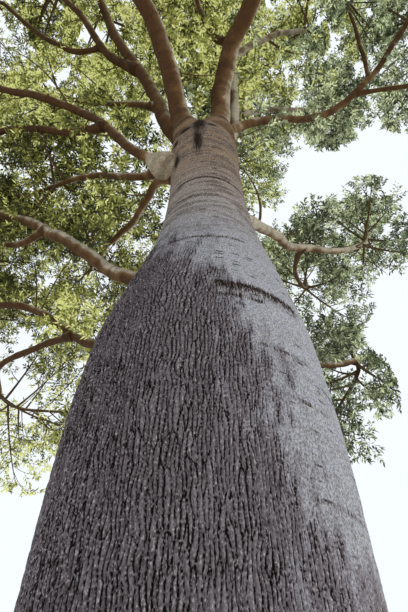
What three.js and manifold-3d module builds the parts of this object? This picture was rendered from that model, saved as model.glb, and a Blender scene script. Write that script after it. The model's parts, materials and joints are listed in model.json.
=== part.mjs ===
import * as THREE from "three";
import { mergeVertices } from "three/addons/utils/BufferGeometryUtils.js";
import Module from "manifold-3d";

// A mature Queensland bottle tree, whole, from a flat cut at ground level to its highest leaf.
// Millimetres, +Z up. The origin is the middle of the cut, and -Y is the side it is seen from.
// Heights and lengths in the tables below are metres, angles are degrees.

const METRE = 1000;
const DEGREE = Math.PI / 180;
const GAP = 0.3; // clear space where two solids meet, mm
const FACET_ALLOWANCE = 0.15; // keeps the gap at the middle of a flat facet, mm

const wasm = await Module();
wasm.setup();

// Finishes
const BODY_BARK = { color: 0x6b6364, roughness: 0.95, metalness: 0 };
const LIMB_BARK = { color: 0xa08b74, roughness: 0.9, metalness: 0 };
const FOLIAGE = { color: 0x5d7a35, roughness: 0.7, metalness: 0 };

// Trunk: height above the cut and radius there. The belly is widest near the ground, the
// shoulder narrows between 3 and 5 m, and the neck swells a little under the fork.
const TRUNK_PROFILE = [
  [0, 1.1],
  [0.25, 1.01],
  [0.6, 0.94],
  [1.2, 0.905],
  [2.0, 0.895],
  [2.8, 0.878],
  [3.2, 0.851],
  [3.6, 0.805],
  [4.0, 0.722],
  [4.4, 0.622],
  [4.8, 0.525],
  [5.3, 0.45],
  [5.9, 0.412],
  [6.5, 0.408],
  [6.8, 0.425],
  [7, 0.4],
  [7.2, 0.345],
  [7.35, 0.28],
  [7.45, 0.2],
];
const TRUNK_TOP = 7.48; // top of the dome that the boughs stand in, m
const TRUNK_LEAN = [
  [0, -0.015],
  [2.4, -0.015],
  [3.6, -0.005],
  [4.2, 0.02],
  [4.8, 0.038],
  [5.5, 0.034],
  [6.2, 0.022],
  [7.1, -0.005],
];
const TRUNK_SIDES = 32;
const TRUNK_RINGS = 20;
const RING_BUNCHING = 0.09; // how much closer the rings lie near the ground and in the dome
const DOME_FLAT = 0.35; // the dome's flat top, as a share of the last ring
const ROOT_FLARE = 0.1; // how far the root lobes stand out at the ground, m
const ROOT_FLARE_HEIGHT = 0.55; // height over which they fade, m
const ROOT_LOBES = [
  { share: 0.6, count: 5, turn: 0.6 },
  { share: 0.4, count: 8, turn: 2.0 },
];

// Limbs. Each starts on the trunk's axis at a height in metres, or at a share of the length of
// the limb it forks from, and follows its bearing (from +X towards +Y) and its climb above
// level, which change evenly from foot to tip. The middle of its foliage lies `offset` from
// the tip (along X, Y and Z), in an ellipsoid with the given half sizes.
const LIMBS = [
  {
    name: "left_main",
    from: "trunk",
    at: 6.2,
    bearings: [184, 180, 185, 171],
    climbs: [32, 57, 29, 27],
    length: 4.9,
    radii: [0.09, 0.055],
    swell: 1.1,
    foliage: { offset: [-0.8, 0.05, 0.5], half: [1.35, 1.3, 1.15] },
  },
  {
    name: "front_right",
    from: "trunk",
    at: 6.05,
    bearings: [-37, -75, -55, -64],
    climbs: [80, 74, 21, 4],
    length: 5.6,
    radii: [0.14, 0.105],
    foliage: { offset: [0.65, -0.95, 0.25], half: [1.45, 1.45, 1.25] },
  },
  {
    name: "front_left",
    from: "trunk",
    at: 6.05,
    bearings: [-156, -110, -130, -123],
    climbs: [81, 55, 23, 16],
    length: 5.5,
    radii: [0.135, 0.095],
    foliage: { offset: [-0.7, -0.75, 0.2], half: [1.45, 1.45, 1.25] },
  },
  {
    name: "left_rear",
    from: "trunk",
    at: 6.9,
    bearings: [165, 200, 210, 230],
    climbs: [55, 75, 57, 60],
    length: 4.7,
    radii: [0.12, 0.07],
    foliage: { offset: [0.1, 0.85, 0.5], half: [1.3, 1.25, 1.15] },
  },
  {
    name: "top_stem",
    from: "trunk",
    at: 6.9,
    bearings: [45, -85, -90],
    climbs: [68, 77, 88],
    length: 4.4,
    radii: [0.085, 0.06],
    foliage: { offset: [0.1, 0.6, 0.85], half: [1.4, 1.4, 1.25] },
  },
  {
    name: "right_main",
    from: "trunk",
    at: 6.9,
    bearings: [-23, 22, -23, -51],
    climbs: [49, 34, 42, 45],
    length: 4.9,
    radii: [0.06, 0.045],
    foliage: { offset: [0.7, 0.3, 0.4], half: [1.3, 1.25, 1.15] },
  },
  {
    name: "rear_left",
    from: "trunk",
    at: 4.75,
    bearings: [123, 171, 169, 169],
    climbs: [12, 46, 44, 16],
    length: 4.8,
    radii: [0.085, 0.065],
    foliage: { offset: [-0.8, 0.1, 0.2], half: [1.25, 1.2, 1.05] },
  },
  {
    name: "back",
    from: "trunk",
    at: 6.1,
    bearings: [85, 85, 85],
    climbs: [47, 35, 20],
    length: 4.3,
    radii: [0.12, 0.05],
    foliage: { offset: [0.1, 0.9, 0.3], half: [1.45, 1.35, 1.2] },
  },
  {
    name: "rear_right",
    from: "trunk",
    at: 5.65,
    bearings: [35, 57, 27, 27],
    climbs: [45, 28, 22, 48],
    length: 4.1,
    radii: [0.08, 0.045],
    foliage: { offset: [0.5, 0.1, 0.4], half: [1.1, 1.1, 1.0] },
  },
  {
    name: "back_left",
    from: "trunk",
    at: 4.55,
    bearings: [114, 141, 167, 155],
    climbs: [-6, 23, 45, 11],
    length: 4.7,
    radii: [0.07, 0.05],
    foliage: { offset: [-0.5, 0.4, 0.2], half: [1.3, 1.25, 1.15] },
  },
  {
    name: "back_right",
    from: "trunk",
    at: 4.8,
    bearings: [50, 65, 25],
    climbs: [15, 8, 30],
    length: 3.8,
    radii: [0.07, 0.045],
    foliage: { offset: [0.15, 0.4, -0.3], half: [0.95, 1.0, 1.4] },
  },
  {
    name: "left_drop",
    from: "trunk",
    at: 6.1,
    bearings: [198, 113, 126, 125],
    climbs: [36, 25, 16, 30],
    length: 3.1,
    radii: [0.055, 0.04],
    foliage: { offset: [-0.3, 0.5, 0.5], half: [1.35, 1.3, 1.15] },
  },
  {
    name: "right_rear_high",
    from: "trunk",
    at: 6.9,
    bearings: [0, 26, 10],
    climbs: [80, 62, 25],
    length: 3.4,
    radii: [0.055, 0.04],
    foliage: { offset: [0.3, 0.2, 0.3], half: [1.05, 1.05, 0.9] },
  },
  {
    name: "left_upper",
    from: "left_rear",
    at: 0.6,
    bearings: [170, 230, 195],
    climbs: [33, 50, 45],
    length: 2.3,
    radii: [0.075, 0.045],
    foliage: { offset: [-0.4, 0.3, 0.4], half: [1.2, 1.2, 1.05] },
  },
  {
    name: "left_high",
    from: "left_upper",
    at: 0.4,
    bearings: [160, 200, 210],
    climbs: [10, 33, 35],
    length: 2.2,
    radii: [0.05, 0.035],
    foliage: { offset: [-0.6, 0.7, 0.1], half: [1.25, 1.25, 1.1] },
  },
  {
    name: "left_level",
    from: "left_rear",
    at: 0.35,
    bearings: [170, 167, 172],
    climbs: [45, 25, 50],
    length: 2.2,
    radii: [0.055, 0.035],
    foliage: { offset: [-0.5, 0.3, 0.3], half: [1.05, 1.05, 0.95] },
  },
  {
    name: "left_fork",
    from: "left_main",
    at: 0.42,
    bearings: [165, 175, 140],
    climbs: [5, 32, 0],
    length: 2.5,
    radii: [0.055, 0.04],
    foliage: { offset: [-0.55, 0.3, 0.4], half: [1.2, 1.15, 1.05] },
  },
  {
    name: "left_mid",
    from: "left_main",
    at: 0.12,
    bearings: [135, 160, 157],
    climbs: [30, 40, 15],
    length: 2.05,
    radii: [0.06, 0.04],
    foliage: { offset: [-0.65, 0.35, 0.2], half: [1.15, 1.1, 1.0] },
  },
  {
    name: "rear_left_fork",
    from: "rear_left",
    at: 0.66,
    bearings: [142, 150, 140],
    climbs: [2, 41, 24],
    length: 2.1,
    radii: [0.05, 0.04],
    foliage: { offset: [-0.3, 0.65, 0.25], half: [1.2, 1.2, 1.05] },
  },
  {
    name: "back_left_low",
    from: "back_left",
    at: 0.56,
    bearings: [150, 150, 90],
    climbs: [10, 3, 0],
    length: 2.2,
    radii: [0.045, 0.035],
    foliage: { offset: [0.3, 0.4, -0.7], half: [1.15, 1.15, 1.3] },
  },
  {
    name: "right_fork",
    from: "right_main",
    at: 0.75,
    bearings: [-75, -100, -110],
    climbs: [78, 68, 63],
    length: 1.7,
    radii: [0.038, 0.028],
    foliage: { offset: [0.3, 0.2, 0.5], half: [1.15, 1.1, 1.0] },
  },
  {
    name: "right_reach",
    from: "right_main",
    at: 0.66,
    bearings: [-5, -10, 0],
    climbs: [8, 0, -10],
    length: 2.1,
    radii: [0.038, 0.03],
    foliage: { offset: [0.7, -0.1, -0.3], half: [1.15, 1.25, 1.2] },
  },
  {
    name: "right_upper",
    from: "top_stem",
    at: 0.62,
    bearings: [-35, -8, 8],
    climbs: [58, 40, 33],
    length: 1.7,
    radii: [0.065, 0.045],
    foliage: { offset: [0.6, 0.6, 0.4], half: [1.2, 1.2, 1.05] },
  },
  {
    name: "rear_right_fork",
    from: "rear_right",
    at: 0.6,
    bearings: [100, 80, 55],
    climbs: [20, 20, 20],
    length: 1.3,
    radii: [0.045, 0.035],
    foliage: { offset: [0.1, 0.2, 0.4], half: [1.3, 1.25, 1.15] },
  },
  {
    name: "back_top",
    from: "back",
    at: 0.4,
    bearings: [100, 110, 80],
    climbs: [75, 75, 70],
    length: 2.8,
    radii: [0.06, 0.04],
    foliage: { offset: [0.0, 0.2, 0.7], half: [1.4, 1.35, 1.2] },
  },
  {
    name: "front_right_fork",
    from: "front_right",
    at: 0.68,
    bearings: [0, -10, -30],
    climbs: [20, 8, -8],
    length: 2.7,
    radii: [0.065, 0.045],
    foliage: { offset: [0.8, -0.5, -0.1], half: [1.35, 1.4, 1.25] },
  },
  {
    name: "front_left_fork",
    from: "front_left",
    at: 0.64,
    bearings: [-170, -160, -150],
    climbs: [23, 8, -8],
    length: 2.6,
    radii: [0.065, 0.045],
    foliage: { offset: [-0.75, -0.5, -0.1], half: [1.35, 1.4, 1.25] },
  },
  {
    name: "front_top",
    from: "front_right",
    at: 0.51,
    bearings: [149, 229, 250],
    climbs: [58, 74, 39],
    length: 2,
    radii: [0.06, 0.035],
    foliage: { offset: [-0.3, 0.45, 0.65], half: [1.35, 1.3, 1.15] },
  },
  {
    name: "front_mid",
    from: "front_left",
    at: 0.6,
    bearings: [-63, -65, -67],
    climbs: [5, 0, -10],
    length: 2.3,
    radii: [0.065, 0.04],
    foliage: { offset: [0.3, -0.8, -0.2], half: [1.4, 1.3, 1.2] },
  },
];
const STEP_LENGTH = 0.68; // length of limb between two rings, m
const THICK_LIMB = 0.09; // foot radius from which a limb has more sides, m
const THICK_SIDES = 8;
const THIN_SIDES = 6;
const FOOT_SWELL = 0.4; // extra radius at a limb's foot, as a share of its radius, where it has none of its own
const SWELL_REACH = 2.2; // reach of the swelling, in radii of what carries the limb

// Foliage. A mass has one stem, side twigs that turn round it by the golden angle, and
// sprays of leaves, each drawn as one pointed blade.
const SEED = 20411;
const GOLDEN_ANGLE = 137.508 * DEGREE;
const STEM_PIECES = 3;
const STEM_BEND = 0.5; // share of its length that the stem follows its limb's heading
const STEM_TIP_RADIUS = 0.018; // m
const STEM_THINNING = 0.7; // below 1, the stem thins soonest near its foot
const SIDE_TWIGS = 6;
const TWIG_PLACES = [0.19, 0.85]; // the lowest and highest twig, as shares of the stem
const TWIG_LEAN = [68, 43]; // angle from the stem to the lowest and highest twig
const TWIG_REACH = [1.0, 1.25]; // least and most reach, in mean half sizes of the space
const TWIG_SHARE = 0.7; // a side twig's foot radius, as a share of its stem's there
const TWIG_TIP_RADIUS = 0.01; // m
const BLADE_LENGTH = 0.74; // m
const BLADE_WIDTH = 0.36; // m
const BLADE_THICKNESS = 0.04; // m
const BLADE_MIDDLE = 0.55; // where a blade is widest, as a share of its length
const BLADE_TWIG_SHARE = 0.6; // most of a short twig's reach that its end blade takes
const BLADE_PLACES = [0.55, 0.9]; // where side blades stand, as shares of their twig
const BLADE_SPREAD = [45, 65]; // angle from the twig to a side blade
const BLADE_SCALES = [0.75, 0.55]; // smaller sizes that are tried where a blade doesn't fit
const BOTH_SIDES_EVERY = 3; // every third twig has a blade on both sides
const LOOSE_TURN = 0.5; // most that a blade or twig turns out of its place, radians
const SPACE_MARGIN = 0.012; // clear space on each side of the face between two masses, m
const TIMBER_MARGIN = 0.012; // clear space between foliage and the limbs that it passes, m
const SMALLEST_SHARE = 0.35; // a twig cut shorter than this share of its reach is skipped
const ROOM_STEPS = 16; // steps in which a straight run through a space is tried

// Helpers

// Repeatable random numbers between 0 and 1.
function randomStream(seed) {
  let state = seed >>> 0;
  return () => {
    state = (state + 0x6d2b79f5) >>> 0;
    let t = state;
    t = Math.imul(t ^ (t >>> 15), t | 1);
    t ^= t + Math.imul(t ^ (t >>> 7), t | 61);
    return ((t ^ (t >>> 14)) >>> 0) / 2 ** 32;
  };
}

// Value at x of a smooth curve through [x, y] pairs: cubic pieces whose slope at each pair is
// that of the chord between its neighbours, and level beyond the ends.
function smoothValue(pairs, x) {
  const last = pairs.length - 1;
  if (x <= pairs[0][0]) return pairs[0][1];
  if (x >= pairs[last][0]) return pairs[last][1];
  const slope = (i) => {
    const before = pairs[Math.max(i - 1, 0)];
    const after = pairs[Math.min(i + 1, last)];
    return (after[1] - before[1]) / (after[0] - before[0]);
  };
  const i = pairs.findIndex((pair) => pair[0] > x) - 1;
  const width = pairs[i + 1][0] - pairs[i][0];
  const t = (x - pairs[i][0]) / width;
  const start = (2 * t ** 3 - 3 * t ** 2 + 1) * pairs[i][1];
  const end = (3 * t ** 2 - 2 * t ** 3) * pairs[i + 1][1];
  const leave = (t ** 3 - 2 * t ** 2 + t) * width * slope(i);
  const arrive = (t ** 3 - t ** 2) * width * slope(i + 1);
  return start + end + leave + arrive;
}

// Value at share t (0 to 1) of a list of evenly spaced values.
function evenValue(values, t) {
  const place = Math.min(Math.max(t, 0), 1) * (values.length - 1);
  const i = Math.min(Math.floor(place), values.length - 2);
  return values[i] + (values[i + 1] - values[i]) * (place - i);
}

function headingVector(bearing, climb) {
  const level = Math.cos(climb * DEGREE);
  return new THREE.Vector3(
    level * Math.cos(bearing * DEGREE),
    level * Math.sin(bearing * DEGREE),
    Math.sin(climb * DEGREE),
  );
}

// Any unit vector square to the given one.
function squareTo(axis) {
  const helper = Math.abs(axis.z) < 0.9 ? new THREE.Vector3(0, 0, 1) : new THREE.Vector3(1, 0, 0);
  return new THREE.Vector3().crossVectors(axis, helper).normalize();
}

// The direction that leans from `along` towards `side` by an angle.
function leaning(along, side, angle) {
  const lean = along.clone().multiplyScalar(Math.cos(angle * DEGREE));
  return lean.addScaledVector(side, Math.sin(angle * DEGREE)).normalize();
}

function middleOf(points) {
  const sum = new THREE.Vector3();
  for (const point of points) sum.add(point);
  return sum.divideScalar(points.length);
}

// Closed surface through rings of equal point count, with a fan over each end that is flat,
// or drawn out to `apex` at the last ring.
function ringsGeometry(rings, apex = middleOf(rings[rings.length - 1])) {
  const sides = rings[0].length;
  const points = rings.flat();
  const footIndex = points.push(middleOf(rings[0])) - 1;
  const headIndex = points.push(apex) - 1;
  const faces = [];
  for (let ring = 0; ring + 1 < rings.length; ring++) {
    for (let side = 0; side < sides; side++) {
      const a = ring * sides + side;
      const b = ring * sides + ((side + 1) % sides);
      faces.push(a, b, b + sides);
      faces.push(a, b + sides, a + sides);
    }
  }
  const top = (rings.length - 1) * sides;
  for (let side = 0; side < sides; side++) {
    const next = (side + 1) % sides;
    faces.push(footIndex, next, side);
    faces.push(headIndex, top + side, top + next);
  }
  const geometry = new THREE.BufferGeometry();
  const flat = points.flatMap((p) => [p.x, p.y, p.z]);
  geometry.setAttribute("position", new THREE.Float32BufferAttribute(flat, 3));
  geometry.setIndex(faces);
  return geometry;
}

// Rings round a path, carried along it without twist from the side `across` at its foot,
// where the first ring is square to `first`.
function tubeRings(path, radii, sides, across, first = path[1].clone().sub(path[0]).normalize()) {
  const tangents = path.map((_, i) => {
    if (i === 0) return first;
    const before = path[i - 1];
    const after = path[Math.min(i + 1, path.length - 1)];
    return new THREE.Vector3().subVectors(after, before).normalize();
  });
  return path.map((centre, i) => {
    const along = tangents[i];
    across = across.clone().addScaledVector(along, -across.dot(along)).normalize();
    const up = new THREE.Vector3().crossVectors(along, across);
    return Array.from({ length: sides }, (_, k) => {
      const turn = (2 * Math.PI * k) / sides;
      return centre
        .clone()
        .addScaledVector(across, radii[i] * Math.cos(turn))
        .addScaledVector(up, radii[i] * Math.sin(turn));
    });
  });
}

function toSolid(geometry) {
  const bare = geometry.clone();
  bare.deleteAttribute("normal");
  bare.deleteAttribute("uv");
  const merged = mergeVertices(bare);
  const vertProperties = new Float32Array(merged.attributes.position.array);
  const triVerts = new Uint32Array(merged.index.array);
  return new wasm.Manifold(new wasm.Mesh({ numProp: 3, vertProperties, triVerts }));
}

function toGeometry(solid) {
  const mesh = solid.getMesh();
  const geometry = new THREE.BufferGeometry();
  const flat = new Float32Array(mesh.vertProperties);
  geometry.setAttribute("position", new THREE.BufferAttribute(flat, 3));
  geometry.setIndex(Array.from(mesh.triVerts));
  geometry.computeVertexNormals();
  return geometry;
}

// The largest of the separate bodies in a solid; loose scraps are dropped.
function largestBody(solid) {
  return solid.decompose().reduce((best, body) => (body.volume() > best.volume() ? body : best));
}

// Trunk

function trunkCentre(height) {
  return new THREE.Vector3(smoothValue(TRUNK_LEAN, height), 0, height).multiplyScalar(METRE);
}

// Radius of the trunk at a height and an angle. Waves round the foot, which fade with height,
// make the root lobes.
function trunkRadius(height, angle) {
  const fade = Math.exp(-((height / ROOT_FLARE_HEIGHT) ** 2));
  let lobes = 0;
  for (const { share, count, turn } of ROOT_LOBES) lobes += share * Math.cos(count * angle + turn);
  return smoothValue(TRUNK_PROFILE, height) + ROOT_FLARE * fade * lobes;
}

// Rings of the trunk, closer together near the ground and in the dome, and grown all round by
// `extra` millimetres above the cut.
function trunkSolid(extra) {
  const lastHeight = TRUNK_PROFILE[TRUNK_PROFILE.length - 1][0];
  const rings = [];
  for (let ring = 0; ring <= TRUNK_RINGS; ring++) {
    const share = ring / TRUNK_RINGS;
    const height = lastHeight * (share - RING_BUNCHING * Math.sin(2 * Math.PI * share));
    const centre = trunkCentre(height);
    if (ring === TRUNK_RINGS) centre.z += extra;
    rings.push(
      Array.from({ length: TRUNK_SIDES }, (_, side) => {
        const angle = (2 * Math.PI * side) / TRUNK_SIDES;
        const radius = trunkRadius(height, angle) * METRE + extra;
        return new THREE.Vector3(radius * Math.cos(angle), radius * Math.sin(angle), 0).add(centre);
      }),
    );
  }
  const crown = rings[rings.length - 1].map((point) => {
    const centre = trunkCentre(TRUNK_TOP);
    centre.z += extra;
    return point.clone().sub(centre).multiplyScalar(DOME_FLAT).add(centre).setZ(centre.z);
  });
  rings.push(crown);
  return toSolid(ringsGeometry(rings));
}

// Limbs

const paths = new Map();

// The limb's centre line in even steps, with the radius at each.
function limbPath(limb) {
  const parent = paths.get(limb.from);
  const steps = Math.max(4, Math.round(limb.length / STEP_LENGTH));
  const start = parent ? pointOnPath(parent, limb.at) : trunkCentre(limb.at);
  const carrier = parent ? radiusOnPath(parent, limb.at) : trunkRadius(limb.at, 0) * METRE;
  const points = [start];
  const radii = [];
  for (let i = 0; i <= steps; i++) {
    const travelled = (limb.length * METRE * i) / steps;
    const swell = (limb.swell ?? FOOT_SWELL) * Math.exp(-((travelled / (SWELL_REACH * carrier)) ** 2));
    radii.push(evenValue(limb.radii, i / steps) * METRE * (1 + swell));
    if (i === steps) break;
    const middle = (i + 0.5) / steps;
    const heading = headingVector(evenValue(limb.bearings, middle), evenValue(limb.climbs, middle));
    points.push(points[i].clone().addScaledVector(heading, (limb.length * METRE) / steps));
  }
  return { points, radii };
}

function pointOnPath(path, share) {
  const place = share * (path.points.length - 1);
  const i = Math.min(Math.floor(place), path.points.length - 2);
  return path.points[i].clone().lerp(path.points[i + 1], place - i);
}

function radiusOnPath(path, share) {
  return evenValue(path.radii, share);
}

function tipHeading(path) {
  const [before, tip] = path.points.slice(-2);
  return new THREE.Vector3().subVectors(tip, before).normalize();
}

function limbSolid(limb, extra) {
  const { points, radii } = paths.get(limb.name);
  const sides = limb.radii[0] >= THICK_LIMB ? THICK_SIDES : THIN_SIDES;
  const grown = points.map((point) => point.clone());
  grown[grown.length - 1].addScaledVector(tipHeading({ points }), extra);
  const fat = radii.map((radius) => radius + extra);
  const first = grown[1].clone().sub(grown[0]).normalize();
  return toSolid(ringsGeometry(tubeRings(grown, fat, sides, squareTo(first))));
}

function boxesMeet(a, b) {
  const first = a.boundingBox();
  const second = b.boundingBox();
  return [0, 1, 2].every((k) => first.min[k] <= second.max[k] && second.min[k] <= first.max[k]);
}

// Foliage

const spaces = [];

// A mass's own space: its ellipsoid, cut flat where it meets the space of a neighbour.
function inSpace(space, point) {
  const { centre, half } = space;
  const away = point.clone().sub(centre);
  const reach = (away.x / half.x) ** 2 + (away.y / half.y) ** 2 + (away.z / half.z) ** 2;
  if (reach > 1) return false;
  return spaces.every((other) => {
    if (other === space) return true;
    const between = other.centre.clone().sub(centre);
    const distance = between.length();
    const face = (distance ** 2 + space.size ** 2 - other.size ** 2) / (2 * distance);
    return away.dot(between) / distance < face - SPACE_MARGIN * METRE;
  });
}

// A keeled blade's widest points, two edges and the keel, and its tip, from its root.
function bladePoints(root, along, across, length) {
  const thick = new THREE.Vector3().crossVectors(along, across);
  const middle = root.clone().addScaledVector(along, BLADE_MIDDLE * length);
  const scale = length / BLADE_LENGTH;
  const wide = 0.5 * BLADE_WIDTH * scale;
  const deep = 0.5 * BLADE_THICKNESS * scale;
  const edge = (hand) => middle.clone().addScaledVector(across, hand * wide);
  const keel = middle.clone().addScaledVector(thick, deep);
  const waist = [edge(1).addScaledVector(thick, -deep), keel, edge(-1).addScaledVector(thick, -deep)];
  return { waist, tip: root.clone().addScaledVector(along, length) };
}

// A blade by itself, pointed at root and tip.
function bladeSolid(root, blade) {
  const corners = [root, ...blade.waist, blade.tip];
  const geometry = new THREE.BufferGeometry();
  const flat = corners.flatMap((p) => [p.x, p.y, p.z]);
  geometry.setAttribute("position", new THREE.Float32BufferAttribute(flat, 3));
  const faces = [];
  const sides = blade.waist.length;
  for (let side = 1; side <= sides; side++) {
    const next = (side % sides) + 1;
    faces.push(0, next, side);
    faces.push(sides + 1, side, next);
  }
  geometry.setIndex(faces);
  return toSolid(geometry);
}

// A twig that widens at its end into a blade.
function sprigSolid(path, radii, across, blade, first) {
  const rings = tubeRings(path, radii, blade.waist.length, across, first);
  return toSolid(ringsGeometry([...rings, blade.waist], blade.tip));
}

// Longest straight run from a point along a direction that stays in the space, up to `wanted`.
function roomAhead(space, from, along, wanted) {
  let room = 0;
  for (let i = 1; i <= ROOM_STEPS; i++) {
    const length = (wanted * i) / ROOM_STEPS;
    if (!inSpace(space, from.clone().addScaledVector(along, length))) break;
    room = length;
  }
  return room;
}

function growMass(space, timber) {
  const random = randomStream(SEED + space.number);
  const between = (low, high) => low + (high - low) * random();
  const loose = () => between(-LOOSE_TURN, LOOSE_TURN);
  const parts = [];
  // Keeps a piece that touches no limb, and nothing of its own mass but what carries it.
  const addIfClear = (solid, carrier) => {
    const touches = (other) => boxesMeet(solid, other) && !solid.intersect(other).isEmpty();
    if (touches(timber) || parts.some((part) => part !== carrier && touches(part))) return false;
    parts.push(solid);
    return true;
  };
  const fits = (blade) => [...blade.waist, blade.tip].every((point) => inSpace(space, point));

  // Stem: from the limb's tip past the middle of the space, with a blade at its end.
  const start = space.tip.clone().addScaledVector(space.heading, GAP);
  const outward = space.centre.clone().sub(space.tip).normalize();
  const room = roomAhead(space, space.centre, outward, space.size);
  const end = space.centre.clone().addScaledVector(outward, room - BLADE_LENGTH * METRE);
  const bend = start.clone().addScaledVector(space.heading, STEM_BEND * start.distanceTo(end));
  const curve = new THREE.QuadraticBezierCurve3(start, bend, end);
  const stem = { points: curve.getPoints(STEM_PIECES) };
  stem.radii = stem.points.map((_, i) => {
    const share = (i / STEM_PIECES) ** STEM_THINNING;
    return space.tipRadius + (STEM_TIP_RADIUS * METRE - space.tipRadius) * share;
  });
  const endHeading = curve.getTangent(1);
  const stemSide = squareTo(space.heading);
  const bladeSide = stemSide.clone().addScaledVector(endHeading, -stemSide.dot(endHeading));
  const endBlade = bladePoints(end, endHeading, bladeSide.normalize(), BLADE_LENGTH * METRE);
  const stemSolid = sprigSolid(stem.points, stem.radii, stemSide, endBlade, space.heading);
  parts.push(stemSolid);

  // A blade on a twig's side, its root on the twig's axis. One that doesn't fit is tried again
  // smaller before it is skipped.
  const addBlade = (root, along, twig) => {
    const across = squareTo(along).applyAxisAngle(along, loose());
    for (const scale of [between(0.9, 1.1), ...BLADE_SCALES]) {
      const blade = bladePoints(root, along, across, BLADE_LENGTH * METRE * scale);
      if (fits(blade) && addIfClear(bladeSolid(root, blade), twig)) return;
    }
  };

  for (let k = 0; k < SIDE_TWIGS; k++) {
    const share = k / (SIDE_TWIGS - 1);
    const place = evenValue(TWIG_PLACES, share);
    const at = pointOnPath(stem, place);
    const along = curve.getTangent(place);
    const side = squareTo(along).applyAxisAngle(along, k * GOLDEN_ANGLE + loose());
    const heading = leaning(along, side, evenValue(TWIG_LEAN, share));
    const across = squareTo(heading).applyAxisAngle(heading, loose());
    const wanted = space.size * between(...TWIG_REACH);
    const reach = roomAhead(space, at, heading, wanted);
    const bladeLength = Math.min(BLADE_LENGTH * METRE, BLADE_TWIG_SHARE * reach);
    const tip = at.clone().addScaledVector(heading, reach - bladeLength);
    const blade = bladePoints(tip, heading, across, bladeLength);
    const radii = [TWIG_SHARE * radiusOnPath(stem, place), TWIG_TIP_RADIUS * METRE];
    if (reach < SMALLEST_SHARE * wanted || !fits(blade)) continue;
    const twig = sprigSolid([at, tip], radii, across, blade);
    if (!addIfClear(twig, stemSolid)) continue;
    const oneHand = k % 2 ? 1 : -1;
    for (const hand of (k + 1) % BOTH_SIDES_EVERY ? [oneHand] : [1, -1]) {
      const root = at.clone().lerp(tip, between(...BLADE_PLACES));
      const outwards = across.clone().applyAxisAngle(heading, loose()).multiplyScalar(hand);
      addBlade(root, leaning(heading, outwards, between(...BLADE_SPREAD)), twig);
    }
  }
  return largestBody(parts.reduce((whole, piece) => whole.add(piece)));
}

// Assembly

const tree = new THREE.Group();

function addMesh(name, solid, finish) {
  const mesh = new THREE.Mesh(toGeometry(solid), new THREE.MeshStandardMaterial(finish));
  mesh.name = name;
  tree.add(mesh);
}

const keepAway = GAP + FACET_ALLOWANCE;
addMesh("trunk", trunkSolid(0), BODY_BARK);

let timber = trunkSolid(TIMBER_MARGIN * METRE);
const cutters = [trunkSolid(keepAway)];
for (const limb of LIMBS) {
  paths.set(limb.name, limbPath(limb));
  let solid = limbSolid(limb, 0);
  for (const cutter of cutters) {
    if (boxesMeet(solid, cutter)) solid = solid.subtract(cutter);
  }
  addMesh(`bough_${limb.name}`, largestBody(solid), LIMB_BARK);
  cutters.push(limbSolid(limb, keepAway));
  timber = timber.add(limbSolid(limb, TIMBER_MARGIN * METRE));
}

LIMBS.forEach((limb, number) => {
  const path = paths.get(limb.name);
  const tip = path.points[path.points.length - 1];
  const heading = tipHeading(path);
  const { offset, half } = limb.foliage;
  spaces.push({
    number,
    name: `foliage_${limb.name}`,
    tip,
    heading,
    tipRadius: path.radii[path.radii.length - 1],
    centre: new THREE.Vector3(...offset).multiplyScalar(METRE).add(tip),
    half: new THREE.Vector3(...half).multiplyScalar(METRE),
    size: Math.cbrt(half[0] * half[1] * half[2]) * METRE,
  });
});
for (const space of spaces) {
  addMesh(space.name, growMass(space, timber), FOLIAGE);
}

export default tree;
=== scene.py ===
"""A mature Queensland bottle tree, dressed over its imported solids.

Metres, +Z up. The origin is the middle of the flat cut at ground level, and -Y is the side that it is
seen from. The trunk is one grid of bark whose columns follow the fissures, the boughs are tubes along the
limbs, and the foliage is twigs and leaves that grow on from the limbs' tips, each mass in its own space.
"""

import itertools
import json
import math

import bpy
import numpy as np
from bpy.props import FloatProperty, FloatVectorProperty, IntProperty, PointerProperty
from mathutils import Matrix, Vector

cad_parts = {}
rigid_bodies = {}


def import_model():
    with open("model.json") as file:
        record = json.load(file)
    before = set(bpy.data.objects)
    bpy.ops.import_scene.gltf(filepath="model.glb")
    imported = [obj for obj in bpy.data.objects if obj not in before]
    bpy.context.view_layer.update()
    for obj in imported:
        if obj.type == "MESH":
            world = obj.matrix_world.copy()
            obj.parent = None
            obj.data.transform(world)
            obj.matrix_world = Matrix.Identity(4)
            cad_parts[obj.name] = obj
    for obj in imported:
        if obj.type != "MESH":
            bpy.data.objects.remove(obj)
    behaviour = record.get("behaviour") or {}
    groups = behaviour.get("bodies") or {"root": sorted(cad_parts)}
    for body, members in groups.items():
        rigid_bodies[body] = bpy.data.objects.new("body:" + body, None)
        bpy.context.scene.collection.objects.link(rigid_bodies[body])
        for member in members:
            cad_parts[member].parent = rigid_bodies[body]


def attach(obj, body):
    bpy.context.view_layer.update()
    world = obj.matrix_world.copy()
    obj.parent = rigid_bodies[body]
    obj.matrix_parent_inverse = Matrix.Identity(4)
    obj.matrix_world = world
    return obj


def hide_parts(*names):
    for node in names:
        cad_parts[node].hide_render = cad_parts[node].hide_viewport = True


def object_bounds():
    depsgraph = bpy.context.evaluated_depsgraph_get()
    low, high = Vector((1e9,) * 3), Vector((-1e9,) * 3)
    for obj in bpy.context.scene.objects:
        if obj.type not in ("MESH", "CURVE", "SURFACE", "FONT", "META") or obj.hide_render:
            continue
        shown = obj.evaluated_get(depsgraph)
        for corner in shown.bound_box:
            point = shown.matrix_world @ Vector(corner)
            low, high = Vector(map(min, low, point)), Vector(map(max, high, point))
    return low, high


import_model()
CAD_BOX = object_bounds()

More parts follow.
